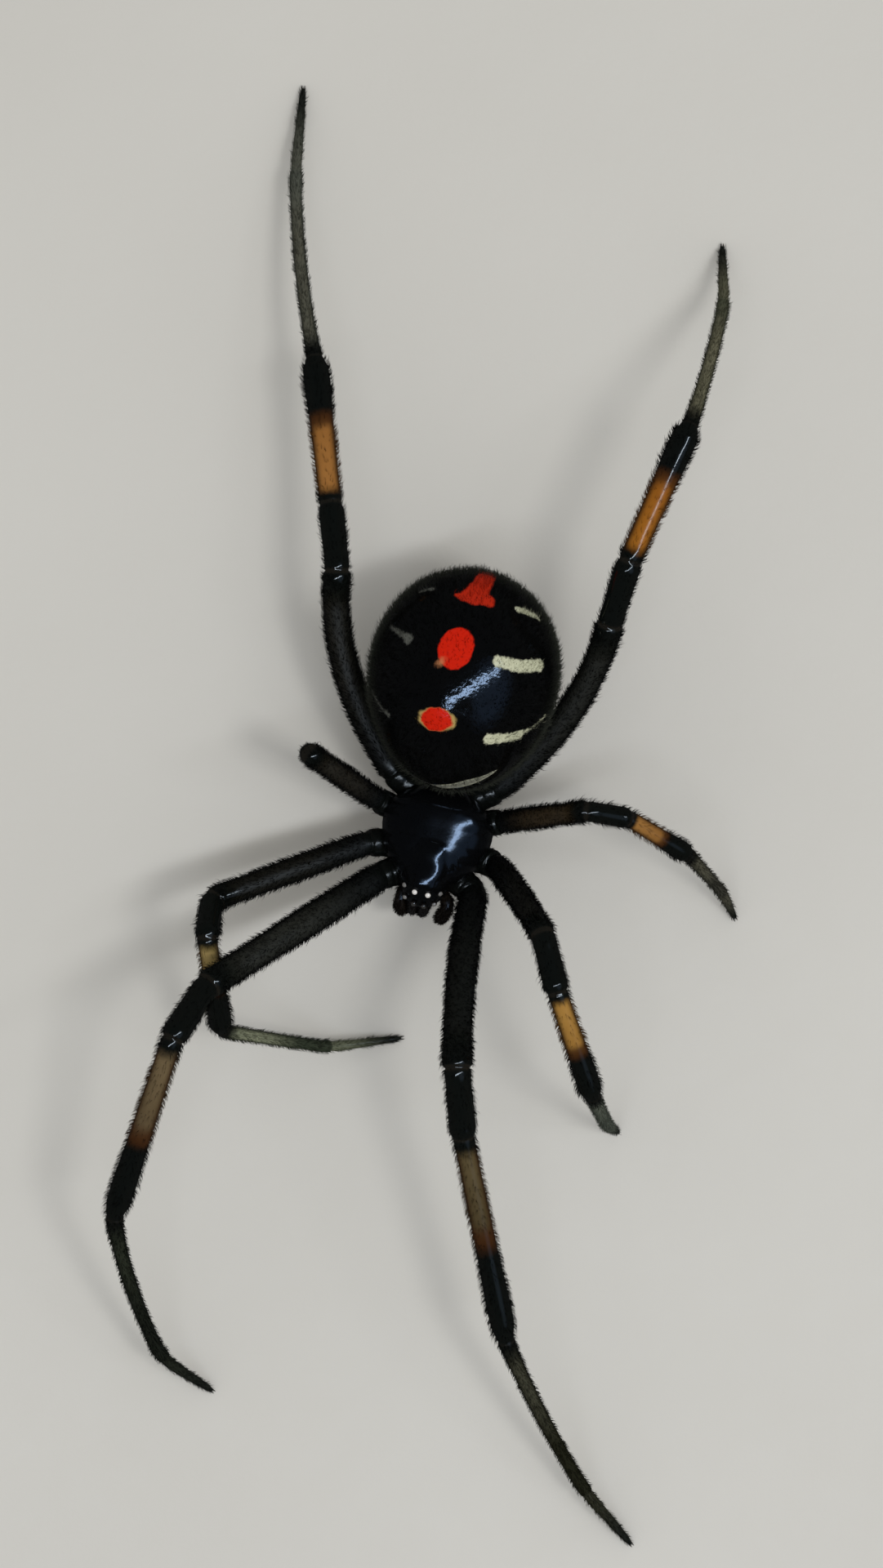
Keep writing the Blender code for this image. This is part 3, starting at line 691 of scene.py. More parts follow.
def abdomen_colours(spot):
    """The colour of the abdomen at a place, and how far it is pale or red there."""
    place, right, back, up = pattern_place(spot)
    ragged = (spot.noise(9.0, 3.0, 0.6) - 0.5) * 0.06
    wobble = (spot.noise(4.0) - 0.5) * 0.05
    mottle = spot.noise(16.0, 3.0, 0.7)
    # The band round the front of the abdomen, over the waist, is cream at the left and fades at the right
    to_left = right.between(-0.05, 0.15)
    width = to_left * right.between(0.66, 0.38) * 0.048 + 0.02
    band = (up - 0.13 - right.between(-0.1, 0.45) * 0.15).size() - width * back.between(-0.3, -0.62)
    band = (band + right.size().between(0.62, 0.8) * 0.1).largest(back + 0.35)
    front_share = band.inside(0.012) * to_left
    cream = nearest_bar(place, LEFT_BARS).smallest(band + (1.0 - to_left) * 0.2)
    cream_share = (cream + ragged).inside(0.014)
    grey_share = (nearest_bar(place, RIGHT_BARS).smallest(band) + ragged).inside(0.018)
    # The front spot has a pale edge at its two ends, the middle one at its front right corner
    middle_spot = oval_distance(place, (0.8, 14.8), 0.2, 0.182, 66.0)
    front_spot = oval_distance(place, (0.0, -24.2), 0.176, 0.112, 8.0)
    front_edge = oval_distance(place, (0.2, -24.2), 0.212, 0.108, 8.0)
    corner = oval_distance(place, (-5.6, 5.6), 0.056, 0.036, 40.0)
    bright_share = (middle_spot.smallest(front_spot) + wobble).inside(0.01)
    rear_share = (nearest_bar(place, REAR_SPOT) + wobble).inside(0.016)
    # The hourglass below, as two triangles point to point
    along = (back + 0.02).size()
    spread = right.size() - (along - 0.035) * 0.62
    glass = spread.largest(along - 0.34).largest(0.05 - along)
    glass_share = (glass + wobble * 0.5).inside(0.014) * up.between(-0.55, -0.75)
    red = mottle.between(0.3, 0.7).mix(SPOT_RED, SPOT_BRIGHT_RED)
    colour = spot.noise(1.6).mix(BLACK, (0.0028, 0.0028, 0.0027))
    for share, tint in (
            (cream_share, mottle.between(0.35, 0.62).mix(SHADED_CREAM, CREAM)),
            # The front band's cream is paler still: painted light, as the band faces forward and down
            (front_share, CREAM_WITH_PAINTED_LIGHT),
            (grey_share * 0.85, mottle.mix((0.075, 0.08, 0.076), GREY_CREAM)),
            ((front_edge + wobble).inside(0.012), (0.4, 0.29, 0.1)),
            (bright_share, red),
            ((corner + ragged).between(0.02, -0.03) * 0.7, (0.46, 0.19, 0.08)),
            (rear_share, SPOT_DEEP_RED),
            (glass_share, red)):
        colour = share.mix(colour, tint)
    shares = (cream_share, grey_share, front_share, bright_share, rear_share, glass_share)
    return colour, functools.reduce(Number.largest, shares)


def abdomen_skin_material():
    recipe, spot = new_material("abdomen cuticle")
    colour, painted = abdomen_colours(spot)
    pits = spot.cells(11.0).between(0.0, 0.22)
    normal = (pits * 0.2 + spot.noise(30.0, 3.0, 0.6) * 0.15 + spot.noise(7.5, 1.5) * 1.7).bump(0.0065)
    rough = painted * 0.06 + spot.noise(5.0) * 0.04 + 0.075
    return recipe.finish(Base_Color=colour, Roughness=rough, Normal=normal, Specular_Tint=BLUE_GLOSS)


def abdomen_hair_material():
    recipe, spot = new_material("abdomen hair")
    colour, painted = abdomen_colours(spot)
    colour = recipe.mix(0.45, colour, (0.002, 0.002, 0.0017))
    # Hairs at the sides stand against the light and look paler
    aside = (spot.dot(UP) - ABDOMEN_CENTRE[2]).size()
    colour = (aside.between(1.3, 0.2) * 0.85).mix(colour, (0.04, 0.044, 0.036))
    return recipe.finish(Base_Color=colour, Roughness=painted * 0.15 + 0.6, Specular_IOR_Level=0.02)


def carapace_material():
    recipe, spot = new_material("carapace cuticle")
    under = spot.dot(UP).between(2.36, 2.22)
    colour = spot.noise(3.0).mix((0.0016, 0.0019, 0.0023), (0.0026, 0.0028, 0.0032))
    colour = under.mix(colour, (0.012, 0.009, 0.007))
    grain = spot.noise(26.0, 3.0, 0.65)
    wrinkle = spot.noise(11.0, 4.0, 0.7)
    normal = (spot.cells(13.0) * 0.4 + grain * 0.35 + wrinkle * (under * 2.5 + 0.3)).bump(0.0018)
    rough = grain * 0.05 + under * 0.3 + 0.09
    return recipe.finish(Base_Color=colour, Roughness=rough, Normal=normal, Specular_Tint=BLUE_GLOSS)


@functools.cache
def dark_cuticle(name, low, high, roughness, depth=0.0045):
    recipe, spot = new_material(name)
    grain = spot.noise(24.0, 3.0, 0.65)
    colour = spot.noise(5.0, 3.0, 0.6).mix(low, high)
    normal = (grain + spot.cells(14.0) * 0.5).bump(depth)
    return recipe.finish(Base_Color=colour, Roughness=grain * 0.08 + roughness, Normal=normal,
                         Specular_Tint=BLUE_GLOSS)


@functools.cache
def hair_finish(name="body hair", low=(0.0026, 0.0024, 0.002), high=(0.005, 0.0044, 0.0036)):
    recipe, spot = new_material(name)
    return recipe.finish(Base_Color=spot.noise(8.0).mix(low, high), Roughness=0.6, Specular_IOR_Level=0.03)


# For each leg: thigh, the amber band's two tones, the shin's dark and light tones
LEG_LOOKS = {
    ("left", 1): ((0.0085, 0.0105, 0.0085), (0.098, 0.073, 0.033), (0.051, 0.036, 0.015),
                  (0.0138, 0.0144, 0.0066), (0.078, 0.078, 0.054)),
    ("right", 1): ((0.026, 0.028, 0.022), (0.146, 0.106, 0.055), (0.078, 0.054, 0.027),
                   (0.009, 0.0115, 0.0078), (0.031, 0.038, 0.024)),
    ("left", 2): ((0.016, 0.017, 0.014), (0.367, 0.199, 0.044), (0.252, 0.124, 0.023),
                  (0.1, 0.118, 0.095), (0.19, 0.215, 0.17)),
    ("right", 2): ((0.011, 0.0095, 0.0045), (0.351, 0.264, 0.1), (0.236, 0.16, 0.052),
                   (0.034, 0.044, 0.028), (0.365, 0.39, 0.262)),
    ("left", 3): ((0.052, 0.033, 0.014), (0.309, 0.15, 0.038), (0.216, 0.096, 0.021),
                  (0.043, 0.043, 0.033), (0.142, 0.138, 0.094)),
    ("right", 3): ((0.024, 0.02, 0.013), (0.309, 0.15, 0.038), (0.216, 0.096, 0.021),
                   (0.043, 0.043, 0.033), (0.142, 0.138, 0.094)),
    ("left", 4): ((0.018, 0.019, 0.015), (0.311, 0.117, 0.009), (0.235, 0.076, 0.005),
                  (0.06, 0.066, 0.042), (0.215, 0.2, 0.13)),
    ("right", 4): ((0.016, 0.015, 0.01), (0.317, 0.14, 0.033), (0.245, 0.102, 0.021),
                   (0.07, 0.078, 0.064), (0.085, 0.078, 0.054)),
}


def leg_colours(recipe, spot, side, number):
    """The colours along a leg: its mark runs from 0 at the coxa to 6 at the claws, one for each part."""
    thigh, amber, amber_deep, shin_dark, shin_light = LEG_LOOKS[side, number]
    along, back, membrane = (recipe.mark(name) for name in ("along", "back", "membrane"))
    uneven = along + (spot.noise(2.6, 3.0, 0.6) - 0.5) * 0.05
    tone = spot.noise(3.5, 3.0, 0.6)
    streaks = spot.vector("MULTIPLY", (1.0, 0.35, 1.0)).noise(9.0, 3.0, 0.6)
    thin, band = along.between(3.95, 4.1), uneven.between(3.035, 3.11) * uneven.between(3.55, 3.45)
    # The band is darker down its sides: partly its own colour, partly painted shade
    amber_here = (uneven.between(3.1, 3.5) * 0.55 + streaks * 0.45).mix(amber, amber_deep)
    amber_here = (back.between(0.94, 0.4) * 0.85).mix(amber_here, (0.04, 0.018, 0.006))
    # Shins darken towards the foot, those of the last legs only near it, and down their sides, partly as
    # painted shade
    fade = 4.62 if number == 4 else 4.3
    shin = (tone * 0.4 + streaks * 0.6).mix(shin_dark, shin_light)
    shin = (back.between(0.92, 0.35) * 0.85).mix(shin, tuple(0.5 * tint for tint in shin_dark))
    shin = uneven.between(fade, fade + 0.4).mix(shin, shin_dark)
    foot = uneven.between(5.1, 5.9).mix(recipe.mix(0.25, shin_dark, shin_light), (0.011, 0.0135, 0.011))
    # The thigh's tone shows only on its upper side; its sides stay black as painted shade
    unshaded_top = along.between(1.05, 1.5) * back.between(0.2, 0.9)
    colour = (unshaded_top * (tone * 0.8 + 0.25)).mix(LEG_BLACK, thigh)
    for share, tint in (
            (along.between(1.8, 1.96), LEG_BLACK),
            (band, amber_here),
            (uneven.between(3.42, 3.5) * uneven.between(3.6, 3.52) * 0.8, (0.05, 0.018, 0.005)),
            (uneven.between(4.01, 4.16), shin),
            (along.between(4.97, 5.02), foot),
            (membrane * along.between(4.5, 3.8) * along.between(1.2, 1.6) * 0.42, (0.034, 0.027, 0.02))):
        colour = share.mix(colour, tint)
    return colour, thin, along, band


def leg_skin_material(side, number):
    recipe, spot = new_material(f"leg cuticle {side} {number}")
    colour, thin, along, band = leg_colours(recipe, spot, side, number)
    grain = spot.noise(22.0, 3.0, 0.65)
    sockets = spot.cells(11.0).between(0.05, 0.22)
    coxa = along.between(1.25, 1.0)
    normal = ((grain * 0.6 + sockets * 0.4) * (coxa * 2.5 + 1.0)).bump(0.0022)
    satin = along.between(1.01, 1.09) * along.between(1.92, 1.8)
    rough = satin * 0.45 + thin * 0.22 + band * 0.13 + grain * 0.05 + coxa * 0.12 + 0.065
    return recipe.finish(Base_Color=colour, Roughness=rough, Normal=normal, Specular_Tint=LEG_GLOSS,
                         Specular_IOR_Level=0.55)


def leg_hair_material(side, number):
    recipe, spot = new_material(f"leg hair {side} {number}")
    colour, thin, _, band = leg_colours(recipe, spot, side, number)
    colour = (0.66 - thin * 0.25 - band * 0.36).mix(colour, (0.0034, 0.0036, 0.003))
    return recipe.finish(Base_Color=colour, Roughness=0.6, Specular_IOR_Level=0.03)


# Abdomen

def to_pattern(ball):
    return ball @ np.array(PATTERN_WAYS).T


def abdomen_surface(ball):
    """Moves points of a unit ball, poles along Y, to the abdomen's skin."""
    x, y, z = ball[..., 0], ball[..., 1], ball[..., 2]
    swell = 1.0 + ABDOMEN_REAR_SWELL * y
    lift = ABDOMEN_FRONT_LIFT * np.maximum(0.0, -y) ** 2
    points = np.stack([x * ABDOMEN_HALF[0] * swell, y * ABDOMEN_HALF[1], z * ABDOMEN_HALF[2] * swell + lift],
                      axis=-1)
    pattern = to_pattern(ball)
    sink = np.zeros(x.shape)
    # Muscle spots: three pairs of small dimples on the back
    for along, apart, depth in ((-9.0, 30.0, 0.03), (-14.0, 16.0, 0.016), (22.0, 24.0, 0.016)):
        for side in (-1.0, 1.0):
            spot = np.array(on_ball(side * apart, along))
            sink += depth * bell(np.linalg.norm(pattern - spot, axis=-1), 0.055)
    # A fold over the waist, and below it the lung covers and the fold behind them
    waist = np.linalg.norm(ball - unit(np.array(WAIST_SPOT)), axis=-1)
    sink += 0.1 * bell(waist, 0.16) - 0.03 * bell(waist - 0.3, 0.1)
    below = np.clip(-z, 0.0, 1.0) ** 2
    sink += 0.035 * below * bell(y + 0.36 - 0.1 * x * x, 0.035)
    sink -= 0.04 * below * bell(np.hypot(np.abs(x) - 0.34, y + 0.56), 0.2)
    sink += 0.02 * np.clip(0.9 - np.abs(z), 0.0, 1.0) * bell(y - 0.93, 0.05)
    return points + ABDOMEN_CENTRE - unit(ball / ABDOMEN_HALF) * sink[..., None]


def make_abdomen():
    skin = add_ball("abdomen_skin", 168, 120, abdomen_surface)
    finish_piece(skin, abdomen_skin_material(), "abdomen")
    rng = np.random.default_rng(11)
    material = abdomen_hair_material()
    roots = scatter(skin, ABDOMEN_HAIRS, rng)
    ball = unit((roots[0] - ABDOMEN_CENTRE) / ABDOMEN_HALF)
    clear = np.linalg.norm(ball - unit(np.array(WAIST_SPOT)), axis=1) > WAIST_CLEAR
    clear &= np.linalg.norm(ball - unit(np.array(SPINNERET_SPOT)), axis=1) > SPINNERETS_CLEAR
    # Sparse and short on top of the back, dense at its margins and below
    top = np.clip(ball[:, 2], 0.0, 1.0) ** 1.5
    clear &= rng.uniform(size=len(ball)) < 1.0 - 0.85 * top
    # Bare over the pale band round the front
    pattern = to_pattern(ball)
    band = (np.abs(pattern[:, 2] - 0.22) < 0.13) & (pattern[:, 1] < -0.5)
    clear &= ~band | (rng.uniform(size=len(ball)) < 0.2)
    lie = -FORWARD + 0.35 * rng.normal(size=ball.shape)
    length = ABDOMEN_HAIR_LENGTH * rng.uniform(0.7, 1.35, len(ball)) * (1.0 - 0.4 * top)
    lift = rng.uniform(34.0, 66.0, len(ball))
    # Every fourth hair is longer and stands out, which softens the outline
    tall = rng.uniform(size=len(ball)) < TALL_HAIR_SHARE
    length = np.where(tall, 1.6 * length, length)
    lift = np.where(tall, lift + 18.0, lift)
    for name, half in (("abdomen_hair_back", ball[:, 2] >= 0.0), ("abdomen_hair_belly", ball[:, 2] < 0.0)):
        add_coat(name, roots, clear & half, lie, length, ABDOMEN_HAIR_RADIUS, lift, material)


# Carapace, with what is under it

def groove_depth(x, y):
    away_x, away_y = np.abs(x) - FOVEA[0], y - FOVEA[1]
    depth = 0.008 * bell(np.hypot(x / 0.28, (away_y + 0.05) / 0.45), 1.0)
    for heading in GROOVE_HEADINGS:
        run = (math.cos(math.radians(heading)), math.sin(math.radians(heading)))
        along = away_x * run[0] + away_y * run[1]
        across = away_x * run[1] - away_y * run[0]
        share = np.clip((along - GROOVE_REACH[0]) / (GROOVE_REACH[1] - GROOVE_REACH[0]), 0.0, 1.0)
        depth = depth + 0.022 * np.sin(math.pi * share ** 4) * bell(across, 0.08)
    return depth


def carapace_surface(ball):
    """Moves points of a unit ball, poles along Y, to the carapace and the keel below it."""
    x, y, z = ball[..., 0], ball[..., 1], ball[..., 2]
    ring = np.sqrt(np.maximum(1e-9, 1.0 - y * y))
    across, up = np.clip(x / ring, -1.0, 1.0), z / ring
    blunt = np.maximum(0.0, 1.0 - np.abs(y) ** CARAPACE_BLUNTNESS) ** (1.0 / CARAPACE_BLUNTNESS)
    half_width, head_width, head_top, thorax_top, keel = (read_curve(stations, y) * blunt for stations in (
        CARAPACE_HALF_WIDTH, HEAD_HALF_WIDTH, HEAD_TOP, THORAX_TOP, CARAPACE_KEEL_DEPTH))
    narrowing = 1.0 - CARAPACE_KEEL_NARROWING * np.maximum(0.0, -up) ** 0.7
    rim = 1.0 + 0.022 * bell(up - 0.03, 0.05) - 0.012 * bell(up - 0.13, 0.05) - 0.05 * bell(up + 0.08, 0.06)
    place_x = across * half_width * narrowing * rim
    place_y = (CARAPACE_FRONT + CARAPACE_REAR) / 2 + y * ((CARAPACE_REAR - CARAPACE_FRONT) / 2)
    # Both are flatter across than a round back, and meet in a soft crease
    head_share = np.minimum(1.0, np.abs(across * half_width) / np.maximum(head_width, 1e-6))
    head = head_top * (1.0 - head_share ** CARAPACE_FLATNESS) ** (1.0 / CARAPACE_FLATNESS)
    thorax = thorax_top * (1.0 - np.abs(across) ** CARAPACE_FLATNESS) ** (1.0 / CARAPACE_FLATNESS)
    gap = np.maximum(0.0, CREASE - np.abs(head - thorax))
    top = np.maximum(head, thorax) + gap * gap / (4 * CREASE) * np.minimum(1.0, thorax * 5)
    place_z = CARAPACE_RIM_HEIGHT + np.where(up > 0.0, top, up * keel)
    place_z = place_z - np.clip((up - 0.12) / 0.2, 0.0, 1.0) * groove_depth(place_x, place_y)
    points = np.stack([place_x, place_y, place_z], axis=-1)
    # A low swelling round each eye
    for eye, radius in eye_spots():
        away = points - eye
        swelling = EYE_SWELLING * bell(np.linalg.norm(away, axis=-1), radius * 1.5)
        points = points + unit(away + np.array((0.0, 0.02, -0.05))) * swelling[..., None]
    return turned(points)


def make_eyes():
    """Eight lenses in two rows, pale on top: a painted glint, and the middle rear pair's pearly floor shining
    up.
    """
    for name, half_spread, along, height, radius, shine in EYE_PAIRS:
        lens, spot = new_material(f"eye lens {name}")
        pearl_and_glint = spot.noise(14.0).mix(*[tuple(shine * part for part in tint) for tint in PEARL_AND_GLINT])
        # The lens is pale where it faces up and out: a painted glint, and on the middle rear pair also its
        # pearly floor
        shade = lens.mark("facing").between(0.45, 0.78)
        material = lens.finish(Base_Color=shade.mix((0.006, 0.005, 0.005), pearl_and_glint), IOR=1.6, Coat_Weight=0.5,
                               Roughness=spot.noise(30.0) * 0.03 + 0.05, Coat_Roughness=0.03)
        for side in SIDES:
            centre = turned(on_side((half_spread, along, height), side))
            eye = add_ball(f"eye_{name}_{side}", 32, 20, lambda ball: centre + radius * ball)
            facing = unit(centre - HEAD_MIDDLE)
            write_mark(eye, "facing", unit(read_points(eye) - centre) @ unit(facing + 0.5 * UP))
            finish_piece(eye, material)


def make_carapace():
    shell = add_ball("carapace_shell", 150, 130, carapace_surface)
    finish_piece(shell, carapace_material(), "carapace")
    make_eyes()
    # Sparse short hairs, denser on the head, none over the eyes
    rng = np.random.default_rng(21)
    roots = scatter(shell, CARAPACE_HAIRS, rng)
    spots = roots[0]
    keep = spots[:, 2] > CARAPACE_RIM_HEIGHT + 0.05
    keep &= rng.uniform(size=len(spots)) < np.where(spots[:, 1] < -0.9, 0.9, 0.25)
    for eye, radius in eye_spots():
        keep &= np.linalg.norm(spots - turned(eye), axis=1) > radius * 1.5
    lie = FORWARD + 0.3 * rng.normal(size=spots.shape)
    length = rng.uniform(0.05, 0.1, len(spots)) * np.where(spots[:, 1] < -1.0, 1.5, 1.0)
    add_coat("carapace_hair", roots, keep, lie, length, FINE_HAIR, rng.uniform(20.0, 50.0, keep.sum()),
             hair_finish())


def sternum_surface(ball):
    x, y, z = ball[..., 0], ball[..., 1], ball[..., 2]
    ring = np.sqrt(np.maximum(1e-9, 1.0 - y * y))
    half_width = read_stations(STERNUM_HALF_WIDTH, y)
    # The edge is drawn in where each coxa meets it
    notch = 1.0
    for place in (-0.78, -0.2, 0.36, 0.82):
        notch = notch - 0.055 * bell(y - place, 0.1)
    depth = STERNUM_HALF_HEIGHT * ring ** 0.6
    dish = 0.03 * bell(np.hypot(x * 0.8, y), 0.7) * (z < 0)
    return np.stack([STERNUM_CENTRE[0] + x * half_width * notch, STERNUM_CENTRE[1] + y * STERNUM_HALF_LENGTH,
                     STERNUM_CENTRE[2] + z / ring * depth + dish], axis=-1)


def add_even_coat(name, skin, count, seed, rule, way, spread, lengths, lifts):
    """Fine hair that lies one way, over the part of a skin that a rule keeps."""
    rng = np.random.default_rng(seed)
    roots = scatter(skin, count, rng)
    keep = rule(*roots[:2])
    lie = way + spread * rng.normal(size=(keep.sum(), 3))
    length = rng.uniform(*lengths, keep.sum())
    add_coat(name, roots, keep, lie, length, FINE_HAIR, rng.uniform(*lifts, keep.sum()), hair_finish())


def make_under_parts():
    plate = dark_cuticle("belly plate cuticle", (0.0055, 0.005, 0.005), (0.014, 0.011, 0.009), 0.3)
    sternum = finish_piece(add_ball("sternum_plate", 72, 50, sternum_surface), plate, "sternum")
    add_even_coat("sternum_hair", sternum, 900, 31, lambda spots, out: out[:, 2] < -0.2, -FORWARD, 0.4,
                  (0.08, 0.14), (25.0, 55.0))
    finish_piece(add_finger("lower_lip", LOWER_LIP, 28, 8, 0.55), plate)
    for side in SIDES:
        finish_piece(add_finger(f"mouth_pad_{side}", head_spots(MOUTH_PAD, side), 28, 8, 0.8), plate)
    waist = dark_cuticle("waist cuticle", (0.01, 0.008, 0.007), (0.022, 0.016, 0.012), 0.34)
    finish_piece(add_finger("waist_stalk", PEDICEL, 32, 8), waist, "pedicel")


def make_jaws():
    jaw_finish = dark_cuticle("jaw cuticle", (0.0045, 0.0042, 0.0042), (0.01, 0.008, 0.007), 0.24)
    fang_finish = dark_cuticle("fang", (0.022, 0.009, 0.005), (0.038, 0.015, 0.008), 0.14, 0.002)
    for seed, side in enumerate(SIDES, 41):
        jaw = add_finger(f"jaw_{side}", head_spots(CHELICERA, side), 36, 10)
        finish_piece(jaw, jaw_finish, f"chelicera_{side}")
        finish_piece(add_finger(f"fang_{side}", head_spots(FANG, side), 16, 8), fang_finish)
        add_even_coat(f"jaw_{side}_hair", jaw, 420, seed, lambda spots, out: spots[:, 2] < 2.3, -UP, 0.4,
                      (0.05, 0.13), (20.0, 50.0))


def make_spinnerets():
    finish = dark_cuticle("spinneret cuticle", (0.008, 0.007, 0.006), (0.02, 0.015, 0.011), 0.36, 0.007)
    mound = add_finger("spinneret_mound", SPINNERET_MOUND, 48, 8, 1.0, (False, True))
    finish_piece(mound, finish, "spinnerets")
    for name, root, heading, length, radius in SPINNERETS:
        for side in SIDES:
            start, way = on_side(root, side), unit(on_side(heading, side))
            spots = [(start + share * length * way, radius * thick) for share, thick in SPINNERET_TAPER]
            cone = finish_piece(add_finger(f"spinneret_{name}_{side}", spots, 28, 8), finish)
            add_even_coat(f"{cone.name}_hair", cone, 260, 51, lambda spots, out: spots[:, 2] > 0.0, way, 0.2,
                          (0.06, 0.12), (15.0, 45.0))
    finish_piece(add_finger("rear_knob", REAR_KNOB, 24, 8), finish)


# Legs

def leg_route(side, number):
    """Points along a leg, how far along it each is, one for each part, and the lengths of the parts."""
    parts, femur_bow, metatarsus_bow, _ = LEGS[side, number]
    bows = {"femur": femur_bow, "metatarsus": metatarsus_bow}
    joints = [on_side(COXA_START[number], side), on_side(COXA_END[number], side)]
    for heading, run, height in parts:
        angle = math.radians(heading)
        x, y, _ = joints[-1]
        joints.append(np.array((x + run * math.cos(angle), y + run * math.sin(angle), height)))
    pieces = []
    for kind, start, end in zip(SEGMENTS, joints, joints[1:]):
        left, up = bows.get(kind, (0.0, 0.0))
        pull = (start + end) / 2 + np.array((2 * left, 0.0, 2 * up))
        points = bent(start, pull, end, np.linspace(0.0, 1.0, 121)[:, None])
        pieces.append((travelled(points), points))
    lengths = [travel[-1] for travel, _ in pieces]
    trims = [0.0, *[joint_trim(number, place, lengths) for place in range(len(pieces) - 1)], 0.0]
    route, along = [], []
    for place, length in enumerate(lengths):
        trim_out, joint = trims[place + 1], place + 1
        stations = np.linspace(trims[place], length - trim_out, 60)
        route.append(read_route(stations, *pieces[place]))
        along.append(place + stations / length)
        if joint < len(pieces):
            share = np.linspace(0.0, 1.0, 13)[1:-1]
            exit_spot = read_route(trim_out, *pieces[joint])
            route.append(bent(route[-1][-1], joints[joint], exit_spot, share[:, None]))
            start_mark = joint - trim_out / length
            end_mark = joint + trim_out / lengths[joint]
            along.append(np.where(share < 0.5, start_mark + (joint - start_mark) * share * 2,
                                  joint + (end_mark - joint) * (share * 2 - 1)))
    return np.concatenate(route), np.concatenate(along), lengths


def joint_trim(number, place, lengths):
    """How far from a joint the leg starts to bend."""
    thick = RADIUS[number][place] * (3.4 if place == 4 else 0.95)
    return min(thick, 0.3 * lengths[place], 0.3 * lengths[place + 1])


def leg_radius(number, along, back, lengths):
    """The radius of a leg at places along it and round it, where back is 1 on top and -1 below, and how bare
    a joint's membrane lies there."""
    place = np.clip(along.astype(int), 0, len(SEGMENTS) - 1)
    radius = np.zeros(along.shape)
    for index, (fullest, taper) in enumerate(zip(RADIUS[number], TAPER)):
        here = place == index
        radius[here] = fullest * read_stations(taper, (along - place)[here])
    membrane = np.zeros(along.shape)
    for joint, (pinch, knob) in enumerate(JOINT_SHAPES, 1):
        before = (joint - along) * lengths[joint - 1]
        after = (along - joint) * lengths[joint]
        thick = min(RADIUS[number][joint - 1:joint + 1])
        arriving = along < joint
        away = np.where(arriving, before, after)
        rim = np.where(arriving, bell(before - 0.5 * thick, 0.42 * thick),
                       0.6 * bell(after - 0.75 * thick, 0.5 * thick))
        slit = bell(np.where(arriving, before, after * 0.7) - 0.05 * thick, 0.08 * thick)
        radius = radius * (1.0 - pinch * bell(away, 0.18 * thick) * (0.66 - 0.34 * back) - 0.35 * pinch * slit
                           + knob * rim * (0.5 + 0.5 * back))
        membrane = np.maximum(membrane, slit * (1.05 - 0.45 * back))
    return radius, np.clip(membrane, 0.0, 1.0)


def ring_stations(lengths):
    """Places along the leg for its rings: close together at the joints, further apart between them."""
    found = []
    for index, length in enumerate(lengths):
        reach = min(0.34, length * 0.4)
        ends = np.arange(0.0, reach, 0.028)
        middle = np.linspace(reach, length - reach, max(4, int((length - 2 * reach) / 0.11)))
        here = np.concatenate([ends, middle, (length - ends)[::-1]])
        found.append(index + np.unique(np.round(here[:-1] / length, 5)))
    return np.unique(np.concatenate([*found, [len(lengths) - 1e-4]]))


def band_mark(side, number, along):
    """The leg's mark, with the tibia's share stretched so that its amber band always ends at the middle."""
    end = LEGS[side, number][-1]
    share = along - 3.0
    stretched = np.where(share < end, share * 0.5 / end, 0.5 + (share - end) * 0.5 / (1.0 - end))
    return np.where((share > 0.0) & (share < 1.0), 3.0 + stretched, along)


def make_leg(side, number):
    route, marks, lengths = leg_route(side, number)
    stations = ring_stations(lengths)
    centre = read_route(stations, marks, route)
    skin = add_tube(f"leg_{side}_{number}_skin", centre, np.ones(len(centre)), AROUND_LEG)
    rings = read_points(skin).reshape(len(centre), AROUND_LEG, 3)
    out = unit(rings - centre[:, None])
    ahead = unit(np.gradient(centre, axis=0))
    level = np.sqrt(np.maximum(1.0 - ahead[:, 2] ** 2, 0.04))
    back = np.clip(out[..., 2] / level[:, None], -1.0, 1.0)
    along = stations[:, None] * np.ones(AROUND_LEG)
    radius, membrane = leg_radius(number, along, back, lengths)
    rings = centre[:, None] + out * radius[..., None]
    rings[..., 2] = np.maximum(rings[..., 2], 0.0)
    write_points(skin, rings.reshape(-1, 3))
    for name, values in (("along", band_mark(side, number, along)), ("membrane", membrane), ("back", back),
                         ("station", along)):
        write_mark(skin, name, values.ravel())
    write_mark(skin, "ahead", np.repeat(ahead, AROUND_LEG, axis=0))
    finish_piece(skin, leg_skin_material(side, number), *[f"leg_{side}_{number}_{kind}" for kind in SEGMENTS],
                 slot="leg_black")

    rng = np.random.default_rng(100 * number + (7 if side == "left" else 3))
    table = np.array(LEG_HAIR)
    densest = table[:, 0].max()
    area = sum(2 * math.pi * radius * length for radius, length in zip(RADIUS[number], lengths))
    roots = scatter(skin, int(area * densest), rng, "along", "back", "station", "ahead")
    along, back, station, ahead = roots[3:]
    count = len(along)
    density, length, thick, lift = table[np.clip(station.astype(int), 0, 5)].T
    keep = rng.uniform(size=count) < density / densest
    keep &= (station > 0.55) & (station - np.floor(station) < 0.985)
    # The upper side of the knees and of the tibiae is nearly bare, so that it shines
    bare = ((station > 2.0) & (station < 4.0) & (back > 0.35)) | ((station < 1.05) & (back > 0.2))
    keep &= ~bare | (rng.uniform(size=count) < 0.15)
    length = length * rng.uniform(0.65, 1.35, count)
    thick = thick * rng.uniform(0.85, 1.15, count)
    lift = lift + rng.normal(0.0, 8.0, count)
    # A few longer bristles stand out more
    bristle = (rng.uniform(size=count) < BRISTLE_SHARE) & (station > 1.1)
    length = np.where(bristle, rng.uniform(0.17, 0.26, count) * np.where(station < 4.0, 1.0, 0.7), length)
    thick = np.where(bristle, BRISTLE_RADIUS, thick)
    lift = np.clip(np.where(bristle, rng.uniform(46.0, 64.0, count), lift), 15.0, 75.0)
    lie = ahead + 0.25 * rng.normal(size=ahead.shape)
    add_coat(f"leg_{side}_{number}_hair", roots, keep, lie, length, thick, lift,
             leg_hair_material(side, number), "leg_black", along=along, back=back, membrane=0.0 * along)
    add_claws(side, number, centre)


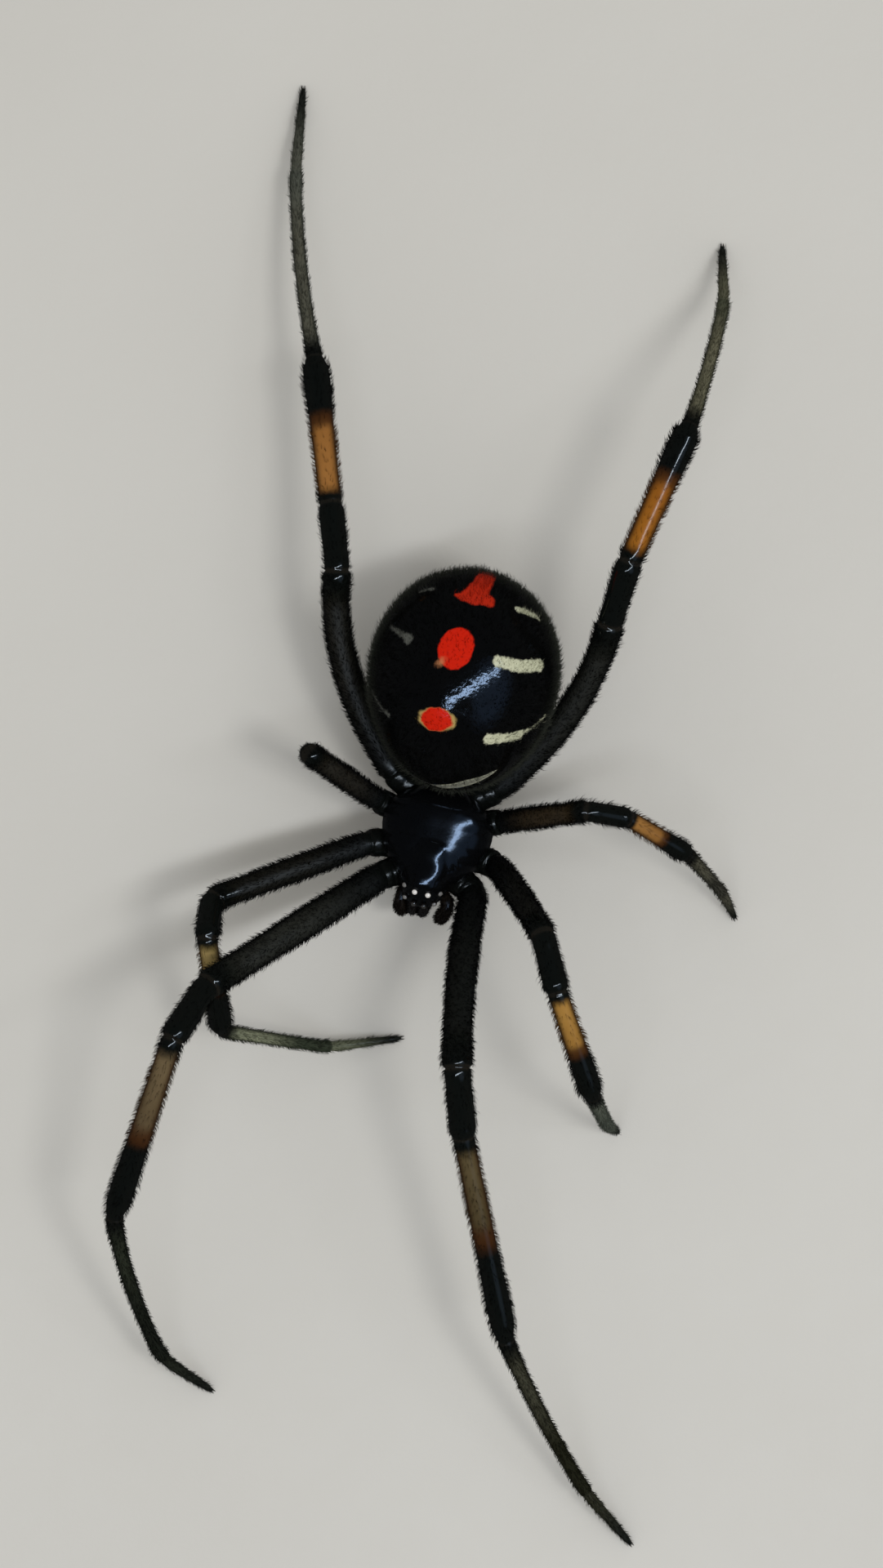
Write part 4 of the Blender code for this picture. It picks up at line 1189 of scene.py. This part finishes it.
def add_claws(side, number, centre):
    """Two upper claws and a smaller lower one at the tip."""
    finish = dark_cuticle("claw", (0.016, 0.011, 0.008), (0.026, 0.018, 0.012), 0.22, 0.001)
    way = unit((centre[-1] - centre[-12]) * np.array((1.0, 1.0, 0.15)))
    across = unit(np.cross(way, UP))
    root = centre[-1] - 0.02 * way
    for name, aside, size in (("left", 0.035, 1.0), ("right", -0.035, 1.0), ("low", 0.0, 0.6)):
        claw = CLAW_MODEL.copy()
        claw.data = CLAW_MODEL.data.copy()
        claw.name = claw.data.name = f"claw_{side}_{number}_{name}"
        bpy.context.scene.collection.objects.link(claw)
        model = read_points(CLAW_MODEL) * size
        points = root + aside * across + model[:, :1] * across + model[:, 1:2] * way + model[:, 2:] * UP
        points[:, 2] = np.maximum(points[:, 2], 0.001)
        write_points(claw, points)
        finish_piece(claw, finish, slot="leg_grey")


# Palps

def make_palp(side):
    """A small feeler beside the jaws, of five parts."""
    joints = turned(PALPS[side])
    route, radii = [], []
    for index, (start, end) in enumerate(zip(joints, joints[1:])):
        length = np.linalg.norm(end - start)
        share = np.linspace(0.0, 1.0, 20)[:-1, None]
        route.append(start + (end - start) * share)
        run = share[:, 0] * length
        pinch = np.maximum(bell(run, 0.03) * (index > 0), bell(length - run, 0.03) * (index < 4))
        radii.append(PALP_RADII[index] * (1.0 - 0.2 * share[:, 0] * (index == 4)) * (1.0 - 0.14 * pinch))
    route = np.concatenate([*route, joints[-1][None]])
    radii = np.concatenate([*radii, [PALP_RADII[-1] * 0.7]])
    for _ in range(6):
        route[1:-1] = 0.25 * route[:-2] + 0.5 * route[1:-1] + 0.25 * route[2:]
    finish = dark_cuticle("palp cuticle", (0.007, 0.006, 0.005), (0.018, 0.013, 0.009), 0.3)
    skin = add_tube(f"palp_{side}_skin", route, rounded_ends(route, radii, (False, True)), AROUND_PALP)
    write_mark(skin, "ahead", np.repeat(unit(np.gradient(route, axis=0)), AROUND_PALP, axis=0))
    finish_piece(skin, finish, f"palp_{side}")
    rng = np.random.default_rng(5 if side == "left" else 6)
    roots = scatter(skin, PALP_HAIRS, rng, "ahead")
    keep = rng.uniform(size=PALP_HAIRS) < np.where(roots[0][:, 1] < -1.7, 1.0, 0.6)
    lie = roots[3] + 0.25 * rng.normal(size=(PALP_HAIRS, 3))
    length = rng.uniform(0.08, 0.16, keep.sum())
    lift = rng.uniform(25.0, 50.0, keep.sum())
    add_coat(f"palp_{side}_hair", roots, keep, lie, length, PALP_HAIR_RADIUS, lift,
             hair_finish("palp hair", (0.006, 0.005, 0.004), (0.014, 0.01, 0.007)))


# Floor, light and camera

def make_stage():
    bpy.ops.object.select_all(action="DESELECT")
    bpy.ops.mesh.primitive_grid_add(x_subdivisions=8, y_subdivisions=8, size=1.2)
    floor = bpy.context.object
    floor.name = "floor"
    recipe = Recipe(bpy.data.materials.new("pale floor"))
    spot = recipe.node("TexCoord", output=3)
    colour = spot.noise(60.0, 3.0, 0.6).mix((0.545, 0.535, 0.505), (0.6, 0.595, 0.57))
    grain = spot.noise(900.0, 4.0, 0.65)
    floor.data.materials.append(recipe.finish(Base_Color=colour, Roughness=grain * 0.15 + 0.42,
                                              Normal=grain.bump(0.05, 0.35), Specular_IOR_Level=0.35))
    floor.visible_glossy = False


CAMERA_PLACE = (-0.8986, 0.6751, 150.0)
CAMERA_TURN = 10.0
SEEN_LENGTH = 41.09
SENSOR = 36.0


def make_camera():
    bpy.ops.object.camera_add(location=[value * METRES for value in CAMERA_PLACE],
                              rotation=(0.0, 0.0, math.radians(CAMERA_TURN)))
    camera = bpy.context.object
    camera.data.sensor_width = SENSOR
    camera.data.lens = SENSOR * CAMERA_PLACE[2] / SEEN_LENGTH
    camera.data.clip_start = 0.001
    camera.data.clip_end = 10.0
    bpy.context.scene.camera = camera


WINDOW_WAY = (0.588, -0.133, 0.797)
# Each lamp: place, turn about Z where it hangs level, size, power, colour, and what it lights
LAMPS = (
    ("tube lamp", (0.075, -0.022, 0.25), 28.8, (0.33, 0.02), 0.2, (0.97, 0.98, 1.0), "diffuse"),
    ("tube lamp in gloss", (0.075, -0.022, 0.245), 28.8, (0.33, 0.02), 0.35, (0.66, 0.8, 1.0), "gloss"),
    ("soft lamp", (0.085, -0.01, 0.23), None, (0.045, 0.045), 0.115, (1.0, 0.98, 0.94), "diffuse"),
)


def make_light():
    """A long tube lamp overhead to the spider's left, a softer lamp, and a pale sky that is dark in gloss."""
    for name, place, turn, size, power, colour, lit in LAMPS:
        bpy.ops.object.light_add(type="AREA", location=place)
        lamp = bpy.context.object
        lamp.name = name
        lamp.data.shape = "RECTANGLE"
        lamp.data.size, lamp.data.size_y = size
        lamp.data.energy = power
        lamp.data.color = colour
        if turn is None:
            lamp.rotation_euler = (-Vector(place)).to_track_quat("-Z", "Y").to_euler()
        else:
            lamp.rotation_euler = (0.0, 0.0, math.radians(turn))
        lamp.visible_glossy = lit == "gloss"
        lamp.visible_diffuse = lit == "diffuse"
    sky = Recipe(bpy.data.worlds.new("soft sky"))
    bpy.context.scene.world = sky.owner
    sky.owner.cycles.sampling_method = "NONE"
    way = sky.node("TexCoord")
    gloss = way.dot(UP).between(0.1, 0.8, "LINEAR").mix((0.03, 0.03, 0.03), (0.012, 0.014, 0.018))
    # A window's haze to the spider's left, seen only in gloss
    gloss = way.dot(WINDOW_WAY).between(0.84, 1.0, "SMOOTHERSTEP").mix(gloss, (0.16, 0.23, 0.34))
    in_gloss = sky.node("LightPath", output="Is Glossy Ray")
    sky.put(sky.tree.nodes["Background"].inputs["Color"], in_gloss.mix((0.62, 0.61, 0.585), gloss))
    bpy.context.scene.view_settings.view_transform = "Standard"


make_stage()
make_camera()
make_light()
HAIR_POINTS, HAIR_FACES = model_hair()
CLAW_MODEL = add_finger("claw_model", CLAW, 8, 4)
make_abdomen()
make_carapace()
make_under_parts()
make_jaws()
make_spinnerets()
for leg_side, leg_number in LEGS:
    make_leg(leg_side, leg_number)
for palp_side in SIDES:
    make_palp(palp_side)
bpy.data.objects.remove(CLAW_MODEL, do_unlink=True)
